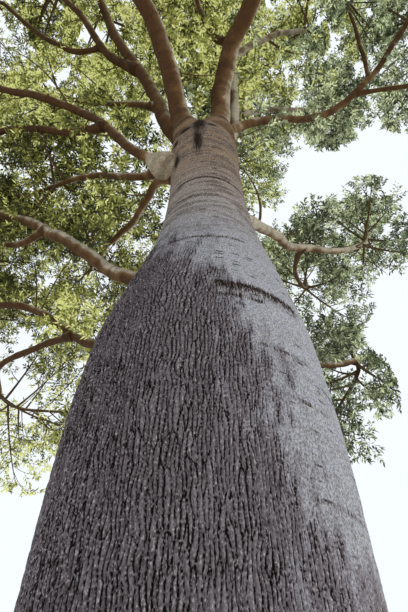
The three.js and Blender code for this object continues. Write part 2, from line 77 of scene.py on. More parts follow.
bl_info = {
    "name": "Queensland bottle tree",
    "version": (1, 0, 0),
    "blender": (4, 5, 0),
    "location": "3D View > Sidebar > Bottle tree",
    "description": "Bark, boughs, twigs and leaves of a mature Queensland bottle tree",
    "category": "Object",
}

BAKE_MAP = "OFBake"
CAP_MAP = 0.001  # place and size of an end face on the bake map
MAP_SHARE = 0.96  # width of a bough's part of that map in the strip that it has
CAP_SHARE = 0.98  # where in that strip its end faces lie
SEED = 20411
MM = 0.001
TINY = 1e-12  # keeps a division from one by nothing
BUMP_DEPTH = 3 * MM  # of the grain of any bark

# Trunk: the same values as the solids have.

TRUNK_PROFILE = (
    # Height and radius.
    (0, 1.1), (0.25, 1.01), (0.6, 0.94), (1.2, 0.905), (2.0, 0.895), (2.8, 0.878), (3.2, 0.851),
    (3.6, 0.805), (4.0, 0.722), (4.4, 0.622), (4.8, 0.525), (5.3, 0.45), (5.9, 0.412), (6.5, 0.408),
    (6.8, 0.425), (7, 0.4), (7.2, 0.345), (7.35, 0.28), (7.45, 0.2),
)
TRUNK_LEAN = (
    # Height and X of the middle.
    (0, -0.015), (2.4, -0.015), (3.6, -0.005), (4.2, 0.02), (4.8, 0.038), (5.5, 0.034),
    (6.2, 0.022), (7.1, -0.005),
)
TRUNK_TOP = 7.48
DOME_FOOT = 7.0  # from here up the trunk is taken as a ball when limbs are joined to it
ROOT_FLARE = 0.1
ROOT_FLARE_HEIGHT = 0.55
ROOT_LOBES = ((0.6, 5, 0.6), (0.4, 8, 2.0))  # share, number of lobes, turn

# Colours: the label of each setting, what it colours, and the colour.

BARK_COLOURS = {
    "cork_light": ("Cork, light", "Lighter plates of the belly", "746d73"),
    "cork_dark": ("Cork, dark", "Darker plates of the belly", "575054"),
    "cork_rubbed": ("Cork, rubbed", "Pale specks where the plates are rubbed", "b3adb3"),
    # Also laid on the plates' flanks as painted shade.
    "fissure_and_shade_colour": ("Fissure", "Bottom of a fissure", "0f0b0a"),
    "skin_grey": ("Skin, grey", "Darker grey of the weathered skin", "7f838d"),
    "skin_pale": ("Skin, pale", "Pale grey of the weathered skin", "a5a9b5"),
    "skin_warm": ("Skin, warm", "Beige of the skin up the neck", "7f6953"),
    "skin_line": ("Skin line", "Fine rings of the skin", "5a4f49"),
    "skin_fleck": ("Skin, flecks", "Pale flecks of the skin", "c2beb8"),
    "stain_colour": ("Stain", "Brown rim of scars and stains", "544a46"),
    "scar_colour": ("Scar", "Scars, stains and dashes", "21160f"),
    "bough_brown": ("Bough, brown", "Warm brown of a bough", "4a3118"),
    # The tan and the pale are painted light on a bough's lit side, partly its bleached bark.
    "bough_tan_lit": ("Bough, tan", "Tan of a bough", "745837"),
    "bough_pale_lit": ("Bough, pale", "Bleached upper side of a bough", "bbb2a0"),
    "bough_dark": ("Bough, dark", "Rings and collars of a bough", "2a1b0d"),
}
TWIG_COLOUR = "54452f"
SUN_COLOUR = "fff6ea"
LEAF_GREENS = (
    # Name, colour and how strongly it glows, for the left of the tree and then for the right. Each green
    # has four tones, from painted shade to painted light, and the glow is painted light for the light that
    # comes through.
    ("olive leaf in shade", "2f3417", 0.07),
    ("olive leaf", "5c6130", 0.15),
    ("yellow-green leaf", "8b8f48", 0.35),
    ("yellow-green leaf against the light", "c3c783", 0.6),
    ("grey-green leaf in shade", "323a2a", 0.07),
    ("grey-green leaf", "5f6a4e", 0.15),
    ("pale green leaf", "8d9775", 0.35),
    ("pale green leaf against the light", "c3cca6", 0.55),
)

# Bark of the trunk. Angles are degrees from +X towards +Y, so -90 faces the viewer.

COLUMNS = 1000  # round the belly, 5.6 mm apart where it is widest
NECK_FOOT = 5.0  # the neck above this height has no fissures, and half the columns
ROW_HEIGHTS = ((0, 0.026), (1.3, 0.026), (1.8, 0.012), (3.3, 0.012), (5.0, 0.018))  # height, row
NECK_ROW = 0.018
BANDS = 4  # pieces that the belly is made in
PLATES = (
    # Plates round the trunk, their height in m and their seed: long ones on the belly, short above.
    (250, 0.14, 0),
    (225, 0.06, 100),
)
SHORT_FROM = 3.25  # height where the short plates take over
SHORT_RAGGED = 0.25  # how far that line strays, m
WIDE_PLATES = (-152, 24, 0.5)  # middle angle, half spread and share by which plates are rarer there
PLATE_JITTER = (0.62, 0.95)  # how far a plate's middle strays, as a share of the room it has
PLATE_SWAY = (0.6, 1.2)  # how far plates sway sideways by the two noises, in plates
LEVEL_EDGE = 2.5  # how much further away than it is an edge counts where it is level
CROWN_SLOPE = 0.008  # a plate falls off over this way to its edge, m
CROWN_SHARE = 0.3  # how high a plate stands, as a share of its fissures' depth
LEFT_SIDE = (-0.35, -0.85)  # cosines of the angles from where on the fissures are wider and widest
LEFT_WIDENING = 0.42
FISSURE_SHARES = (1.7, 0.4)  # width of the relief's fissures in the setting's, and how it varies
WORN_FISSURES = 0.8  # how much shallower fissures are in weathered bark
WORN_PLATES = 0.7  # how much lower plates are there
WORN_EDGE = (1.3, 0.3, 1.0)  # how much further from edges it counts, between what shares that sets in
WORN_TONE = (0.25, 0.45)  # how much lighter plates are there, from what share on
PLATE_TONE = 0.55  # share of a plate's own tone, the rest is noise
BLEACHED_TONE = 0.45  # how much lighter plates are near the weathered bark
BLEACHED_TURN = (-0.9, -0.2)  # cosines of the angles between which that sets in
GROUND_FADE = 0.02  # height over which the relief sets in, m
DARK_BELLY = (0.38, 2.2, 3.5)  # how much darker plates get up the belly, and between what heights
BARK_NOISES = {
    # Seed, and cells per metre along X, Y and Z.
    "lumps": (8, (3, 3, 2)),
    "grit": (9, (60, 60, 30)),
    "folds": (10, (1.5, 1.5, 17)),
    "shade": (11, (5, 5, 2.5)),
    "width": (12, (14, 14, 5)),
    "sway": (20, (14, 14, 10)),
    "slow sway": (21, (3, 3, 2.5)),
    "short plates": (23, (9, 9, 6)),
    "weathering": (31, (6, 6, 3)),
    "fine weathering": (32, (30, 30, 9)),
    "wobble": (33, (3, 3, 0)),
    "strokes": (34, (85, 85, 12)),
}
BELLY_RELIEF = {"lumps": 6, "grit": 1.3, "plates": 2.0, "folds": 1.8, "scars": 7}  # mm
NECK_RELIEF = {"lumps": 5, "folds": 2.2, "scars": 7}
NECK_EDGE = 0.01  # stands for the way to a plate's edge where there are no plates, m
NECK_TONE = 0.5  # stands for a plate's tone there
LINE_STEP = 2  # degrees to either side for the slope of the line below
LINE_SPAN = 0.06  # the width of both together, m
WEATHER_REACH = 0.34  # half the height over which the bark weathers, m
MOST_STEEP = 3  # slope of that line from which on this reach grows no more
WEATHER_RAGGED = (0.6, 0.7)  # how far the two noises move it, in reaches
WEATHER_RISE = (-1.1, 1.0)  # where from the line the bark turns to skin, in reaches
BLEACH_RISE = (-5.0, -0.5)  # where the cork before it turns pale
WEATHERED_FROM = (
    # Angle, and the height above which the bark is pale and nearly smooth there.
    (-180, 4.75), (-145, 4.75), (-122, 4.5), (-106, 4.22), (-90, 3.86), (-80, 3.45), (-72, 3.1),
    (-64, 2.74), (-58, 2.45), (-52, 2.27), (-45, 2.15), (-30, 1.95), (0, 1.65), (30, 1.75),
    (60, 2.7), (95, 3.9), (135, 4.55), (180, 4.75),
)
RING_SCARS = (
    # Height, middle angle, half of its spread, half width in m, strength. A strength over 1 is a
    # broad torn band, drawn with short strokes.
    (5.61, -85, 62, 0.020, 1.0),
    (5.24, -118, 50, 0.014, 0.8),
    (4.33, -90, 32, 0.014, 0.85),
    (6.02, -80, 48, 0.009, 0.45),
    (6.22, -112, 38, 0.011, 0.65),
    (6.48, -70, 40, 0.009, 0.4),
    (3.65, -62, 27, 0.035, 1.02),
    (3.51, -73, 13, 0.022, 0.7),
    (3.11, -57, 15, 0.012, 0.5),
    (2.8, -50, 14, 0.012, 0.4),
    (2.28, -42, 16, 0.014, 0.4),
    (5.4, 60, 70, 0.016, 0.8),
    (4.55, 20, 60, 0.016, 0.8),
    (3.9, 5, 45, 0.03, 1.4),
    (3.0, 0, 40, 0.014, 0.7),
    (5.9, 120, 60, 0.013, 0.7),
    (4.95, -175, 50, 0.012, 0.6),
)
TORN_SIDES = (0.35, 2.4)  # how wide a torn band is above and below its middle, in half widths
SCAR_WOBBLE = 0.02  # how far a scar strays up and down, m
SCAR_STRENGTH = 1.15
SCAR_FADE = 0.75  # share of a scar's spread from which on it fades
SCAR_GAPS = 0.45  # how much weaker a scar is between its strokes
STROKE_CONTRAST = 0.6
STAIN_STRENGTH = 0.95
STAIN_RIM = (1.1, 0.1)  # where a stain starts and where it is full, as shares of its size
STAIN_RAGGED = 0.25
NECK_RISE = (3.9, 6.6)  # heights between which the skin turns from grey to brown
STAINS = (
    # Angle, height, half spread in degrees, half height in m.
    (-99, 6.95, 26, 0.6),
    (-102, 6.5, 15, 0.55),
    (-124, 6.88, 34, 0.13),
    (-146, 6.74, 18, 0.12),
    (-78, 6.9, 20, 0.09),
    (-146, 6.3, 17, 0.3),
    (150, 4.95, 30, 0.15),
)

# Limbs: name, what it grows from, where (a height on the trunk, or a share of the parent's length),
# bearings, climbs, length, foot and tip radius, then the offset of its foliage's middle from the tip
# and the half sizes of that foliage's ellipsoid. The values are those of the solids, with four
# exceptions: left_main is thinner past its knuckle, right_main leaves the trunk 80 mm higher,
# top_stem leaves it further right, and right_upper forks from top_stem a little higher.

LIMBS = (
    ("left_main", "trunk", 6.2, (184, 180, 185, 171), (32, 57, 29, 27), 4.9, (0.065, 0.05),
     (-0.8, 0.05, 0.5), (1.35, 1.3, 1.15)),
    ("front_right", "trunk", 6.05, (-37, -75, -55, -64), (80, 74, 21, 4), 5.6, (0.14, 0.105),
     (0.65, -0.95, 0.25), (1.45, 1.45, 1.25)),
    ("front_left", "trunk", 6.05, (-156, -110, -130, -123), (81, 55, 23, 16), 5.5, (0.135, 0.095),
     (-0.7, -0.75, 0.2), (1.45, 1.45, 1.25)),
    ("left_rear", "trunk", 6.9, (165, 200, 210, 230), (55, 75, 57, 60), 4.7, (0.12, 0.07),
     (0.1, 0.85, 0.5), (1.3, 1.25, 1.15)),
    ("top_stem", "trunk", 6.07, (11, -45, -58, -68), (70, 83, 88, 79), 5.1, (0.078, 0.058),
     (0.1, 0.6, 0.85), (1.4, 1.4, 1.25)),
    ("right_main", "trunk", 6.98, (-23, 22, -23, -51), (50, 34, 42, 45), 4.9, (0.06, 0.045),
     (0.7, 0.3, 0.4), (1.3, 1.25, 1.15)),
    ("rear_left", "trunk", 4.75, (123, 171, 169, 169), (12, 46, 44, 16), 4.8, (0.085, 0.065),
     (-0.8, 0.1, 0.2), (1.25, 1.2, 1.05)),
    ("back", "trunk", 6.1, (85, 85, 85), (47, 35, 20), 4.3, (0.12, 0.05),
     (0.1, 0.9, 0.3), (1.45, 1.35, 1.2)),
    ("rear_right", "trunk", 5.65, (35, 57, 27, 27), (45, 28, 22, 48), 4.1, (0.08, 0.045),
     (0.5, 0.1, 0.4), (1.1, 1.1, 1)),
    ("back_left", "trunk", 4.55, (114, 141, 167, 155), (-6, 23, 45, 11), 4.7, (0.07, 0.05),
     (-0.5, 0.4, 0.2), (1.3, 1.25, 1.15)),
    ("back_right", "trunk", 4.8, (50, 65, 25), (15, 8, 30), 3.8, (0.07, 0.045),
     (0.15, 0.4, -0.3), (0.95, 1, 1.4)),
    ("left_drop", "trunk", 6.1, (198, 113, 126, 125), (36, 25, 16, 30), 3.1, (0.055, 0.04),
     (-0.3, 0.5, 0.5), (1.35, 1.3, 1.15)),
    ("right_rear_high", "trunk", 6.9, (0, 26, 10), (80, 62, 25), 3.4, (0.055, 0.04),
     (0.3, 0.2, 0.3), (1.05, 1.05, 0.9)),
    ("left_upper", "left_rear", 0.6, (170, 230, 195), (33, 50, 45), 2.3, (0.075, 0.045),
     (-0.4, 0.3, 0.4), (1.2, 1.2, 1.05)),
    ("left_high", "left_upper", 0.4, (160, 200, 210), (10, 33, 35), 2.2, (0.05, 0.035),
     (-0.6, 0.7, 0.1), (1.25, 1.25, 1.1)),
    ("left_level", "left_rear", 0.35, (170, 167, 172), (45, 25, 50), 2.2, (0.055, 0.035),
     (-0.5, 0.3, 0.3), (1.05, 1.05, 0.95)),
    ("left_fork", "left_main", 0.42, (165, 175, 140), (5, 32, 0), 2.5, (0.055, 0.04),
     (-0.55, 0.3, 0.4), (1.2, 1.15, 1.05)),
    ("left_mid", "left_main", 0.12, (135, 160, 157), (30, 40, 15), 2.05, (0.06, 0.04),
     (-0.65, 0.35, 0.2), (1.15, 1.1, 1)),
    ("rear_left_fork", "rear_left", 0.66, (142, 150, 140), (2, 41, 24), 2.1, (0.05, 0.04),
     (-0.3, 0.65, 0.25), (1.2, 1.2, 1.05)),
    ("back_left_low", "back_left", 0.56, (150, 150, 90), (10, 3, 0), 2.2, (0.045, 0.035),
     (0.3, 0.4, -0.7), (1.15, 1.15, 1.3)),
    ("right_fork", "right_main", 0.75, (-75, -100, -110), (78, 68, 63), 1.7, (0.038, 0.028),
     (0.3, 0.2, 0.5), (1.15, 1.1, 1)),
    ("right_reach", "right_main", 0.66, (-5, -10, 0), (8, 0, -10), 2.1, (0.038, 0.03),
     (0.7, -0.1, -0.3), (1.15, 1.25, 1.2)),
    ("right_upper", "top_stem", 0.74, (-35, -8, 8), (58, 40, 33), 1.7, (0.065, 0.045),
     (0.6, 0.6, 0.4), (1.2, 1.2, 1.05)),
    ("rear_right_fork", "rear_right", 0.6, (100, 80, 55), (20, 20, 20), 1.3, (0.045, 0.035),
     (0.1, 0.2, 0.4), (1.3, 1.25, 1.15)),
    ("back_top", "back", 0.4, (100, 110, 80), (75, 75, 70), 2.8, (0.06, 0.04),
     (0, 0.2, 0.7), (1.4, 1.35, 1.2)),
    ("front_right_fork", "front_right", 0.68, (0, -10, -30), (20, 8, -8), 2.7, (0.065, 0.045),
     (0.8, -0.5, -0.1), (1.35, 1.4, 1.25)),
    ("front_left_fork", "front_left", 0.64, (-170, -160, -150), (23, 8, -8), 2.6, (0.065, 0.045),
     (-0.75, -0.5, -0.1), (1.35, 1.4, 1.25)),
    ("front_top", "front_right", 0.51, (149, 229, 250), (58, 74, 39), 2, (0.06, 0.035),
     (-0.3, 0.45, 0.65), (1.35, 1.3, 1.15)),
    ("front_mid", "front_left", 0.6, (-63, -65, -67), (5, 0, -10), 2.3, (0.065, 0.04),
     (0.3, -0.8, -0.2), (1.4, 1.3, 1.2)),
)
REGIONS = {
    "left": ("left_main", "left_drop", "left_fork", "left_mid", "rear_left", "rear_left_fork"),
    "left_high": ("left_rear", "left_upper", "left_high", "left_level", "back_left", "back_left_low"),
    "right": ("right_main", "right_fork", "right_reach", "rear_right", "rear_right_fork",
              "right_rear_high"),
    "back": ("back", "back_top", "back_right", "top_stem", "right_upper"),
    "front": ("front_right", "front_left", "front_right_fork", "front_left_fork", "front_top",
              "front_mid"),
}
PALE_KNUCKLE = "left_main"  # the limb whose swollen foot is grey and pale
PAINTED_LIGHT_SIDE = np.array([0.55, 0.1, 0.83])  # the side of a bough that gets the most light, which is painted paler there
PALE_LIMBS = (
    "rear_right", "rear_left", "rear_left_fork", "left_mid", "left_drop", "right_rear_high", "back",
    "left_level", "top_stem", "right_upper",
)
STEP_LENGTH = 0.68  # length of a limb between two of the solids' rings
LEAST_STEPS = 4  # fewest such lengths in a limb
FOOT_SWELL = 0.25  # less than the solids have, as FILLET adds to it
OWN_SWELL = {
    # Share, how far along the limb it is highest, and its reach in m.
    "left_main": (1.75, 0.57, 0.22),
    "front_left": (0.05, 0.0, 1.0),
    "front_right": (0.05, 0.0, 1.0),
}
SWELL_REACH = 2.2  # how soon that swelling fades, in radii of what carries the limb
THICK_LIMB = 0.09  # foot radius from which on a limb counts as thick
LIMB_SIDES = (22, 16)  # of a thick limb and of a thin one
LIMB_RING = 0.035  # length of a limb between two rings of its mesh
FOOT_DEPTH = 1.1  # how deep in what carries it a limb's mesh starts, in its own radii
FORK_FOOT = (0.85, 0.35)  # most radius of a fork's foot, in its carrier's, and how fast it may rise
STRAY = 0.5  # how far a limb strays sideways, in radii
STRAY_LENGTH = 0.45  # the way over which it does so, m
STRAY_FROM = 12  # ring of its mesh from which on it does so in full
KNOBS = ((0.13, 3.5), (0.06, 12))  # height in radii and number per metre of broad and of small ones
RING_GAP = 0.05  # between the rings of a limb's bark, m
RING_HEIGHT = 0.05  # in radii
RING_RADIUS = 0.05  # of a limb from which on its rings get no higher, m
RING_WAVE = (0.5, 9)  # how far a ring runs out of level, in gaps, and waves per metre
COLLAR = (0.05, 0.3, 0.16)  # of a foot's collar: height, way from what carries it and width, in radii
COLLAR_LEAST = 4 * MM  # added to that width
COLLAR_DEPTH = 0.2  # how deep in what carries the limb its colour starts, in radii
RING_SHADES = (0.5, 0.8)  # how dark the rings and the collar are
LIMB_SEEDS = {"stray": 60, "knobs": 50, "rings": 90, "waves": 91, "patches": 130}
PAINTED_LIGHT_SPAN = (-0.85, 0.8)  # cosines of the angle from the lit side where its painted light, partly bleaching, ends and is full
PAINTED_LIGHT_PATCHES = (0.35, 7)  # how far patches move it, and patches per metre
PALE_SHARE = 0.55  # how much more of a pale limb's round is drawn pale
PALE_REACH = (0.42, 0.26)  # way from the trunk where the pale knuckle's colour ends and is full, m
KNUCKLE_BLEACHED = 0.7
WARM_FOOT = 0.5  # how soon the trunk's colour fades on a limb's foot, in radii
# How far a limb's foot spreads over what carries it, and how soon that fades, in radii.
FILLET = (0.3, 0.4)
OWN_FILLET = {
    "front_right": (0.6, 0.55),
    "front_left": (0.4, 0.5),
    "top_stem": (0.5, 0.6),
    "left_main": (0.06, 0.3),
}
SMOOTH_SHARE = 0.4  # how rough a thick limb is against a thin one

# Stage

FLOOR_RADIUS = 80
FLOOR_SIDES = 96
SUN_STRENGTH = 1.6
SUN_SPREAD = 35  # how wide its disc is, degrees
SUN_TURN = (52, 0, 68)  # about X, Y and Z, degrees
SENSOR = 36  # the longer side of the camera's sensor, mm
CLIP_END = 200

# Foliage: the source's rule, carried to finer twigs.

GOLDEN_ANGLE = math.radians(137.508)
SHOOT_GAP = 0.25  # along a limb, between the leafy shoots on its upper and far sides, m
SHOOT_LENGTH = (0.45, 0.9)  # m
SHOOT_LEAN = (50, 75)  # degrees from the limb
SHOOT_LIFT = 0.5  # how much a shoot turns up to the light
SHOOT_TURN = 6  # most turn of a limb's first shoot, radians
FAR_SIDE_FROM = -0.5  # Y from which on shoots lean to the far side
SHOOT_FOOT = 0.016  # radius
SHOOT_COUNTS = (6, 6)  # sprigs on a shoot, and sprays on each
SHOOT_REACHES = (0.3, 0.15)  # their lengths, m
SHOOTS = {
    # Shares of the limb's length between which shoots grow. The other limbs are bare.
    "left_main": (0.3, 0.97), "left_rear": (0.5, 0.97), "left_upper": (0.2, 0.97),
    "left_level": (0.1, 0.97), "left_fork": (0.2, 0.97), "left_mid": (0.3, 0.97),
    "left_drop": (0.35, 0.97), "rear_left": (0.5, 0.97), "back_left": (0.3, 0.95),
    "top_stem": (0.25, 0.97), "right_upper": (0.3, 0.97), "back": (0.35, 0.97),
    "back_top": (0.1, 0.97), "right_rear_high": (0.6, 0.97), "right_main": (0.35, 0.6),
    "rear_right": (0.45, 0.75), "back_right": (0.5, 0.97), "front_top": (0.4, 0.97),
    "front_left": (0.25, 0.9), "front_right": (0.4, 0.9), "front_right_fork": (0.4, 0.97),
    "front_left_fork": (0.4, 0.97),
}
THIN_BRANCHES = (
    # Bare thin branches that show against the leaves: the limb and the share of its length where
    # each starts, bearings and climbs of its two halves, their lengths and the radius of its foot.
    ("rear_right", 0.3, (-60, -150), (55, 45), (0.45, 0.6), 0.022),
    ("right_upper", 0.57, (-25, -15), (50, 45), (0.25, 0.45), 0.02),
    ("right_upper", 0.59, (40, 0), (20, 40), (0.7, 0.75), 0.022),
    ("right_rear_high", 0.93, (15, 30), (40, 25), (0.4, 0.4), 0.014),
    ("right_main", 0.61, (30, 5), (15, 35), (0.3, 0.35), 0.014),
    ("right_fork", 0.65, (-30, -45), (45, 55), (0.35, 0.7), 0.018),
    ("left_level", 0.44, (-155, -160), (45, 40), (0.75, 0.65), 0.016),
    ("left_level", 0.56, (-160, -165), (50, 45), (0.65, 0.55), 0.012),
    ("left_main", 0.59, (-140, -170), (55, 30), (0.95, 0.8), 0.018),
    ("left_mid", 0.41, (135, 155), (10, 25), (0.2, 0.35), 0.016),
    ("rear_right", 0.94, (5, -145), (25, 55), (0.55, 0.4), 0.016),
    ("rear_right", 0.94, (15, 5), (20, 35), (0.5, 0.4), 0.013),
    ("rear_right", 0.94, (40, 40), (10, 5), (0.7, 0.5), 0.013),
    ("back_left", 0.77, (-100, -145), (65, 55), (0.6, 0.2), 0.013),
    ("back_left", 0.75, (-55, -15), (65, 45), (0.7, 0.25), 0.013),
)
SHOOT_SIDES = {"front_left": 1, "front_right": -1}  # which way along X the shoots of a limb lean
USUAL_SPREAD = 1.08  # leaves fill a mass's space to this share of its half sizes
SPREADS = {
    # The same for masses that show wider or narrower in the photo.
    "top_stem": 1.3, "front_top": 1.2, "left_rear": 1.2, "back_top": 1.3, "left_drop": 1.35,
    "right_upper": 1.3, "rear_right": 1.0, "rear_right_fork": 1.15, "right_main": 1.15,
    "right_fork": 1.12, "right_rear_high": 0.9, "back_right": 0.95, "back_left": 1.2,
    "back_left_low": 1.15, "rear_left_fork": 1.2,
}
OPEN_MASSES = {
    # Share of a mass's sprays that are there, where the sky shows through it.
    "back_left_low": 0.8, "back_right": 0.85, "rear_right": 0.85, "left_level": 0.5,
    "left_fork": 0.45, "left_high": 0.8, "left_upper": 0.8, "left_rear": 0.85, "left_main": 0.6,
}
SHIFTS = {
    # How far a mass's leaves lie from the middle of its solid, along X, Y and Z in m.
    "front_top": (0.35, 0.0, 0.0), "back_top": (0.6, 0.0, 0.55), "back_right": (-0.35, 0.0, -0.05),
    "back_left_low": (0.1, 0.0, 0.8), "right_main": (-0.5, 0.0, -0.5),
    "right_upper": (-0.45, -0.4, 0.45), "right_rear_high": (0.5, 0.0, 0.5),
    "rear_right": (-0.3, 0.0, 0.05), "left_drop": (0.15, 0.0, -0.1),
}
STEM_BEND = 0.5  # place of the bend of a mass's stem, as a share of the way to its end
STEM_TIP_RADIUS = 0.018
STEM_THINNING = 0.7  # power of its thinning from foot to tip: most of it comes first
STEM_END = 0.35  # the stem stops this far inside its space, m
STEM_SHORTER = 0.95  # its length, as a share of the two lines that it bends along
STEM_LEAST = 8  # fewest points of its path
GROWTH = {
    # What grows: the shares of its carrier's length between which it starts, how far it leans from
    # it at either end, in degrees, and the share of its full length below which it is left out.
    "branch": ((0.1, 0.97), (84, 38), 0.3),
    "sprig": ((0.3, 1.0), (62, 30), 0.35),
    "spray": ((0.3, 1.0), (58, 25), 0.4),
    "sprig of a shoot": ((0.35, 1.0), (62, 25), 0.35),
}
TWIG_REACH = (1.0, 1.25)  # full lengths differ by this factor
TWIG_BEND = 0.5  # place of a twig's bend, as a share of its reach
TWIG_THINNING = 0.75  # how much thinner a twig's foot is at its carrier's tip
TWIG_CLEARANCE = 0.03  # between a twig and a limb, m
TIMBER_STEP = 4  # rings of a limb from one point to the next where that is tried
TRIED_AT_ONCE = 4000  # points tried at a time, which keeps the arrays small
LEAST_PLACE = 0.03  # share of a carrier's length before which nothing starts
LOOSE_PLACE = 0.4  # how far what grows strays from its even place, in gaps, and from its turn
LOOSE_TURN = 0.5
SPRIG_LENGTH = (0.42, 1.15, 0.45)  # in its branch's: share, then its factor at the foot and the fall
SPRAY_LENGTH = (0.45, 0.1, 0.24)  # in its sprig's, then the least and the most, m
LIFT = 0.3  # how much a branch turns up to the light
TUBES = (
    # Of branches, sprigs and sprays: share of the radius that their carrier leaves them, least and
    # most foot radius, tip radius, pieces and sides.
    (0.75, 0.0, 0.03, 0.004, 8, 5),
    (0.5, 0.004, 0.009, 0.002, 3, 3),
    (1.0, 0.0028, 0.0028, 0.001, 1, 3),
)
ROOM_STEPS = 16  # even steps in which the room ahead is tried
SPACE_MARGIN = 0.012  # between the spaces of two masses, m
BOX_SPREAD = 0.15  # leaves stay within the solids' box grown by this, m
LEAF_PLACES = (0.18, 1.0)  # shares of a spray's length between which its leaves start
LEAF_FIRST = 0.02  # and the share before which none does, wherever it strays
LEAF_LEAN = (78, 45, 15)  # degrees at a spray's foot, how much less at its tip, and how loose that is
LEAF_WIDEST = 0.4  # share of its length where a leaf is widest
# How far a leaf's tip hangs, as a share of its length, and the factors between which that varies.
LEAF_SAG = (0.25, 0.2, 1.4)
LEAF_RAISED = 0.2  # height of its sides, in half its width
LEAF_LOOSE = (0.05, 0.6)  # how far it strays from its place and from its turn
LEAF_DROOP = 0.2  # how much a leaf turns down
LEAF_LENGTHS = (0.7, 1.15)  # shares of the full length and width
LEAF_WIDTHS = (0.8, 1.2)
LEAF_SCATTER = 0.6  # how far the faces of leaves turn from the sky
LEAF_CLEARANCE = 0.09  # between the middle of a spray and a limb, m
LEAF_FACES = np.array([[0, 2, 3], [0, 3, 1]])
TONE = {
    # How light a spray is, from 0 to 1 over the four tones of a green, from painted shade to painted
    # light:
    # the middle, and what each of the others adds or, the last two, how far chance moves a spray and then
    # each of its leaves.
    "middle": 0.33, "patches": 0.22, "outside": 0.2, "high": 0.24, "low left": 0.24, "grey": 0.03,
    "high grey": -0.11, "spray": 0.3, "leaf": 0.25,
}
OUTSIDE_FROM = 0.6  # how far out in its mass a spray starts to get brighter by painted light, in half sizes
SHOOTS_OUT = 0.8  # how far out a spray on a limb's shoot counts
TONE_PATCH = 0.6  # size of the lighter and darker patches of leaves, m
HIGH_LIGHT = (7.8, 9.3)  # heights between which sprays get brighter by painted light
LOW_LIGHT = (7.0, 5.8)  # the same for low ones on the left
GREY_DARKENS = (8.6, 9.6)  # heights between which greyer sprays get darker
GREY_PATCH = 1.1  # size of the patches where greyer and yellower greens mix, m
# The line between them: the height from which it leans right, that lean, its X below and how loose.
GREY_LINE = (8.6, 0.6, 0.3, 0.8)
LEAF_SEEDS = {"tone": 90, "grey": 91}


def linear(colour):
    """The linear red, green and blue of an sRGB colour written as six hex digits."""
    shares = np.array([int(colour[i : i + 2], 16) for i in (0, 2, 4)]) / 255
    return tuple(np.where(shares <= 0.04045, shares / 12.92, ((shares + 0.055) / 1.055) ** 2.4))


# Numbers


def smooth_values(pairs, x):
    """Height at x of a cubic curve through (x, y) pairs: its slope at each pair is that of the chord
    between the neighbours, and it is level beyond the ends."""
    xs, ys = np.array(pairs, float).T
    before = np.maximum(np.arange(len(xs)) - 1, 0)
    after = np.minimum(np.arange(len(xs)) + 1, len(xs) - 1)
    slopes = (ys[after] - ys[before]) / (xs[after] - xs[before])
    x = np.clip(x, xs[0], xs[-1])
    i = np.clip(np.searchsorted(xs, x, side="right") - 1, 0, len(xs) - 2)
    width = xs[i + 1] - xs[i]
    t = (x - xs[i]) / width
    start = (2 * t**3 - 3 * t**2 + 1) * ys[i]
    end = (3 * t**2 - 2 * t**3) * ys[i + 1]
    leave = (t**3 - 2 * t**2 + t) * width * slopes[i]
    arrive = (t**3 - t**2) * width * slopes[i + 1]
    return start + end + leave + arrive


def even_values(values, t):
    """Value at share t of a list of evenly spaced values, straight between them."""
    return np.interp(t, np.linspace(0, 1, len(values)), values)


def smooth_step(low, high, x):
    """0 below low, 1 above high, and the curve 3t² - 2t³ between them."""
    t = np.clip((x - low) / (high - low), 0, 1)
    return t * t * (3 - 2 * t)


def cell_share(seed, *cells):
    """A random share from 0 to 1 for each whole-numbered cell, the same on every run: the cell's
    numbers are folded in one after the other by odd multipliers and shifts."""
    mixed = np.uint32(seed * 2654435761 % 2**32)
    for cell in cells:
        mixed = (mixed ^ np.asarray(cell).astype(np.uint32)) * np.uint32(0x85EBCA6B)
        mixed = mixed ^ (mixed >> np.uint32(13))
    mixed = mixed * np.uint32(0xC2B2AE35)
    mixed = mixed ^ (mixed >> np.uint32(16))
    return mixed / 2.0**32


def soft_noise(seed, *axes):
    """Smooth noise from -1 to 1: each whole-numbered corner has a random share, and they are blended
    across a cell by 3t² - 2t³ along every axis."""
    axes = np.broadcast_arrays(*axes)
    cells = [np.floor(axis).astype(np.int64) for axis in axes]
    shares = [axis - cell for axis, cell in zip(axes, cells)]
    shares = [t * t * (3 - 2 * t) for t in shares]
    total = 0
    for corner in itertools.product((0, 1), repeat=len(axes)):
        weight = 1
        for t, far in zip(shares, corner):
            weight = weight * (t if far else 1 - t)
        total = total + weight * cell_share(seed, *(cell + far for cell, far in zip(cells, corner)))
    return 2 * total - 1


def noise_at(seed, points, cells):
    """That noise at points, with this many cells per metre along X, Y and Z."""
    return soft_noise(seed, *np.moveaxis(points * cells, -1, 0))


def unit(vectors):
    """The vectors along the last axis, each made one long."""
    return vectors / np.maximum(np.linalg.norm(vectors, axis=-1, keepdims=True), TINY)


def square_to(axes):
    """For each unit axis, a unit vector square to it: the cross product with +Z, or with +X where
    the axis is nearly upright."""
    upright = np.abs(axes[..., 2:3]) >= 0.9
    helper = np.where(upright, (1.0, 0.0, 0.0), (0.0, 0.0, 1.0))
    return unit(np.cross(axes, helper))


def turned(vectors, axes, angles):
    """Vectors square to unit axes, turned about them: cosine times the vector plus sine times its
    cross product with the axis."""
    angles = np.asarray(angles)[..., None]
    return np.cos(angles) * vectors + np.sin(angles) * np.cross(axes, vectors)


def leaning(along, side, degrees):
    """Unit vectors that lean from along towards side by an angle."""
    angles = np.radians(np.asarray(degrees))[..., None]
    return unit(np.cos(angles) * along + np.sin(angles) * side)


# Meshes


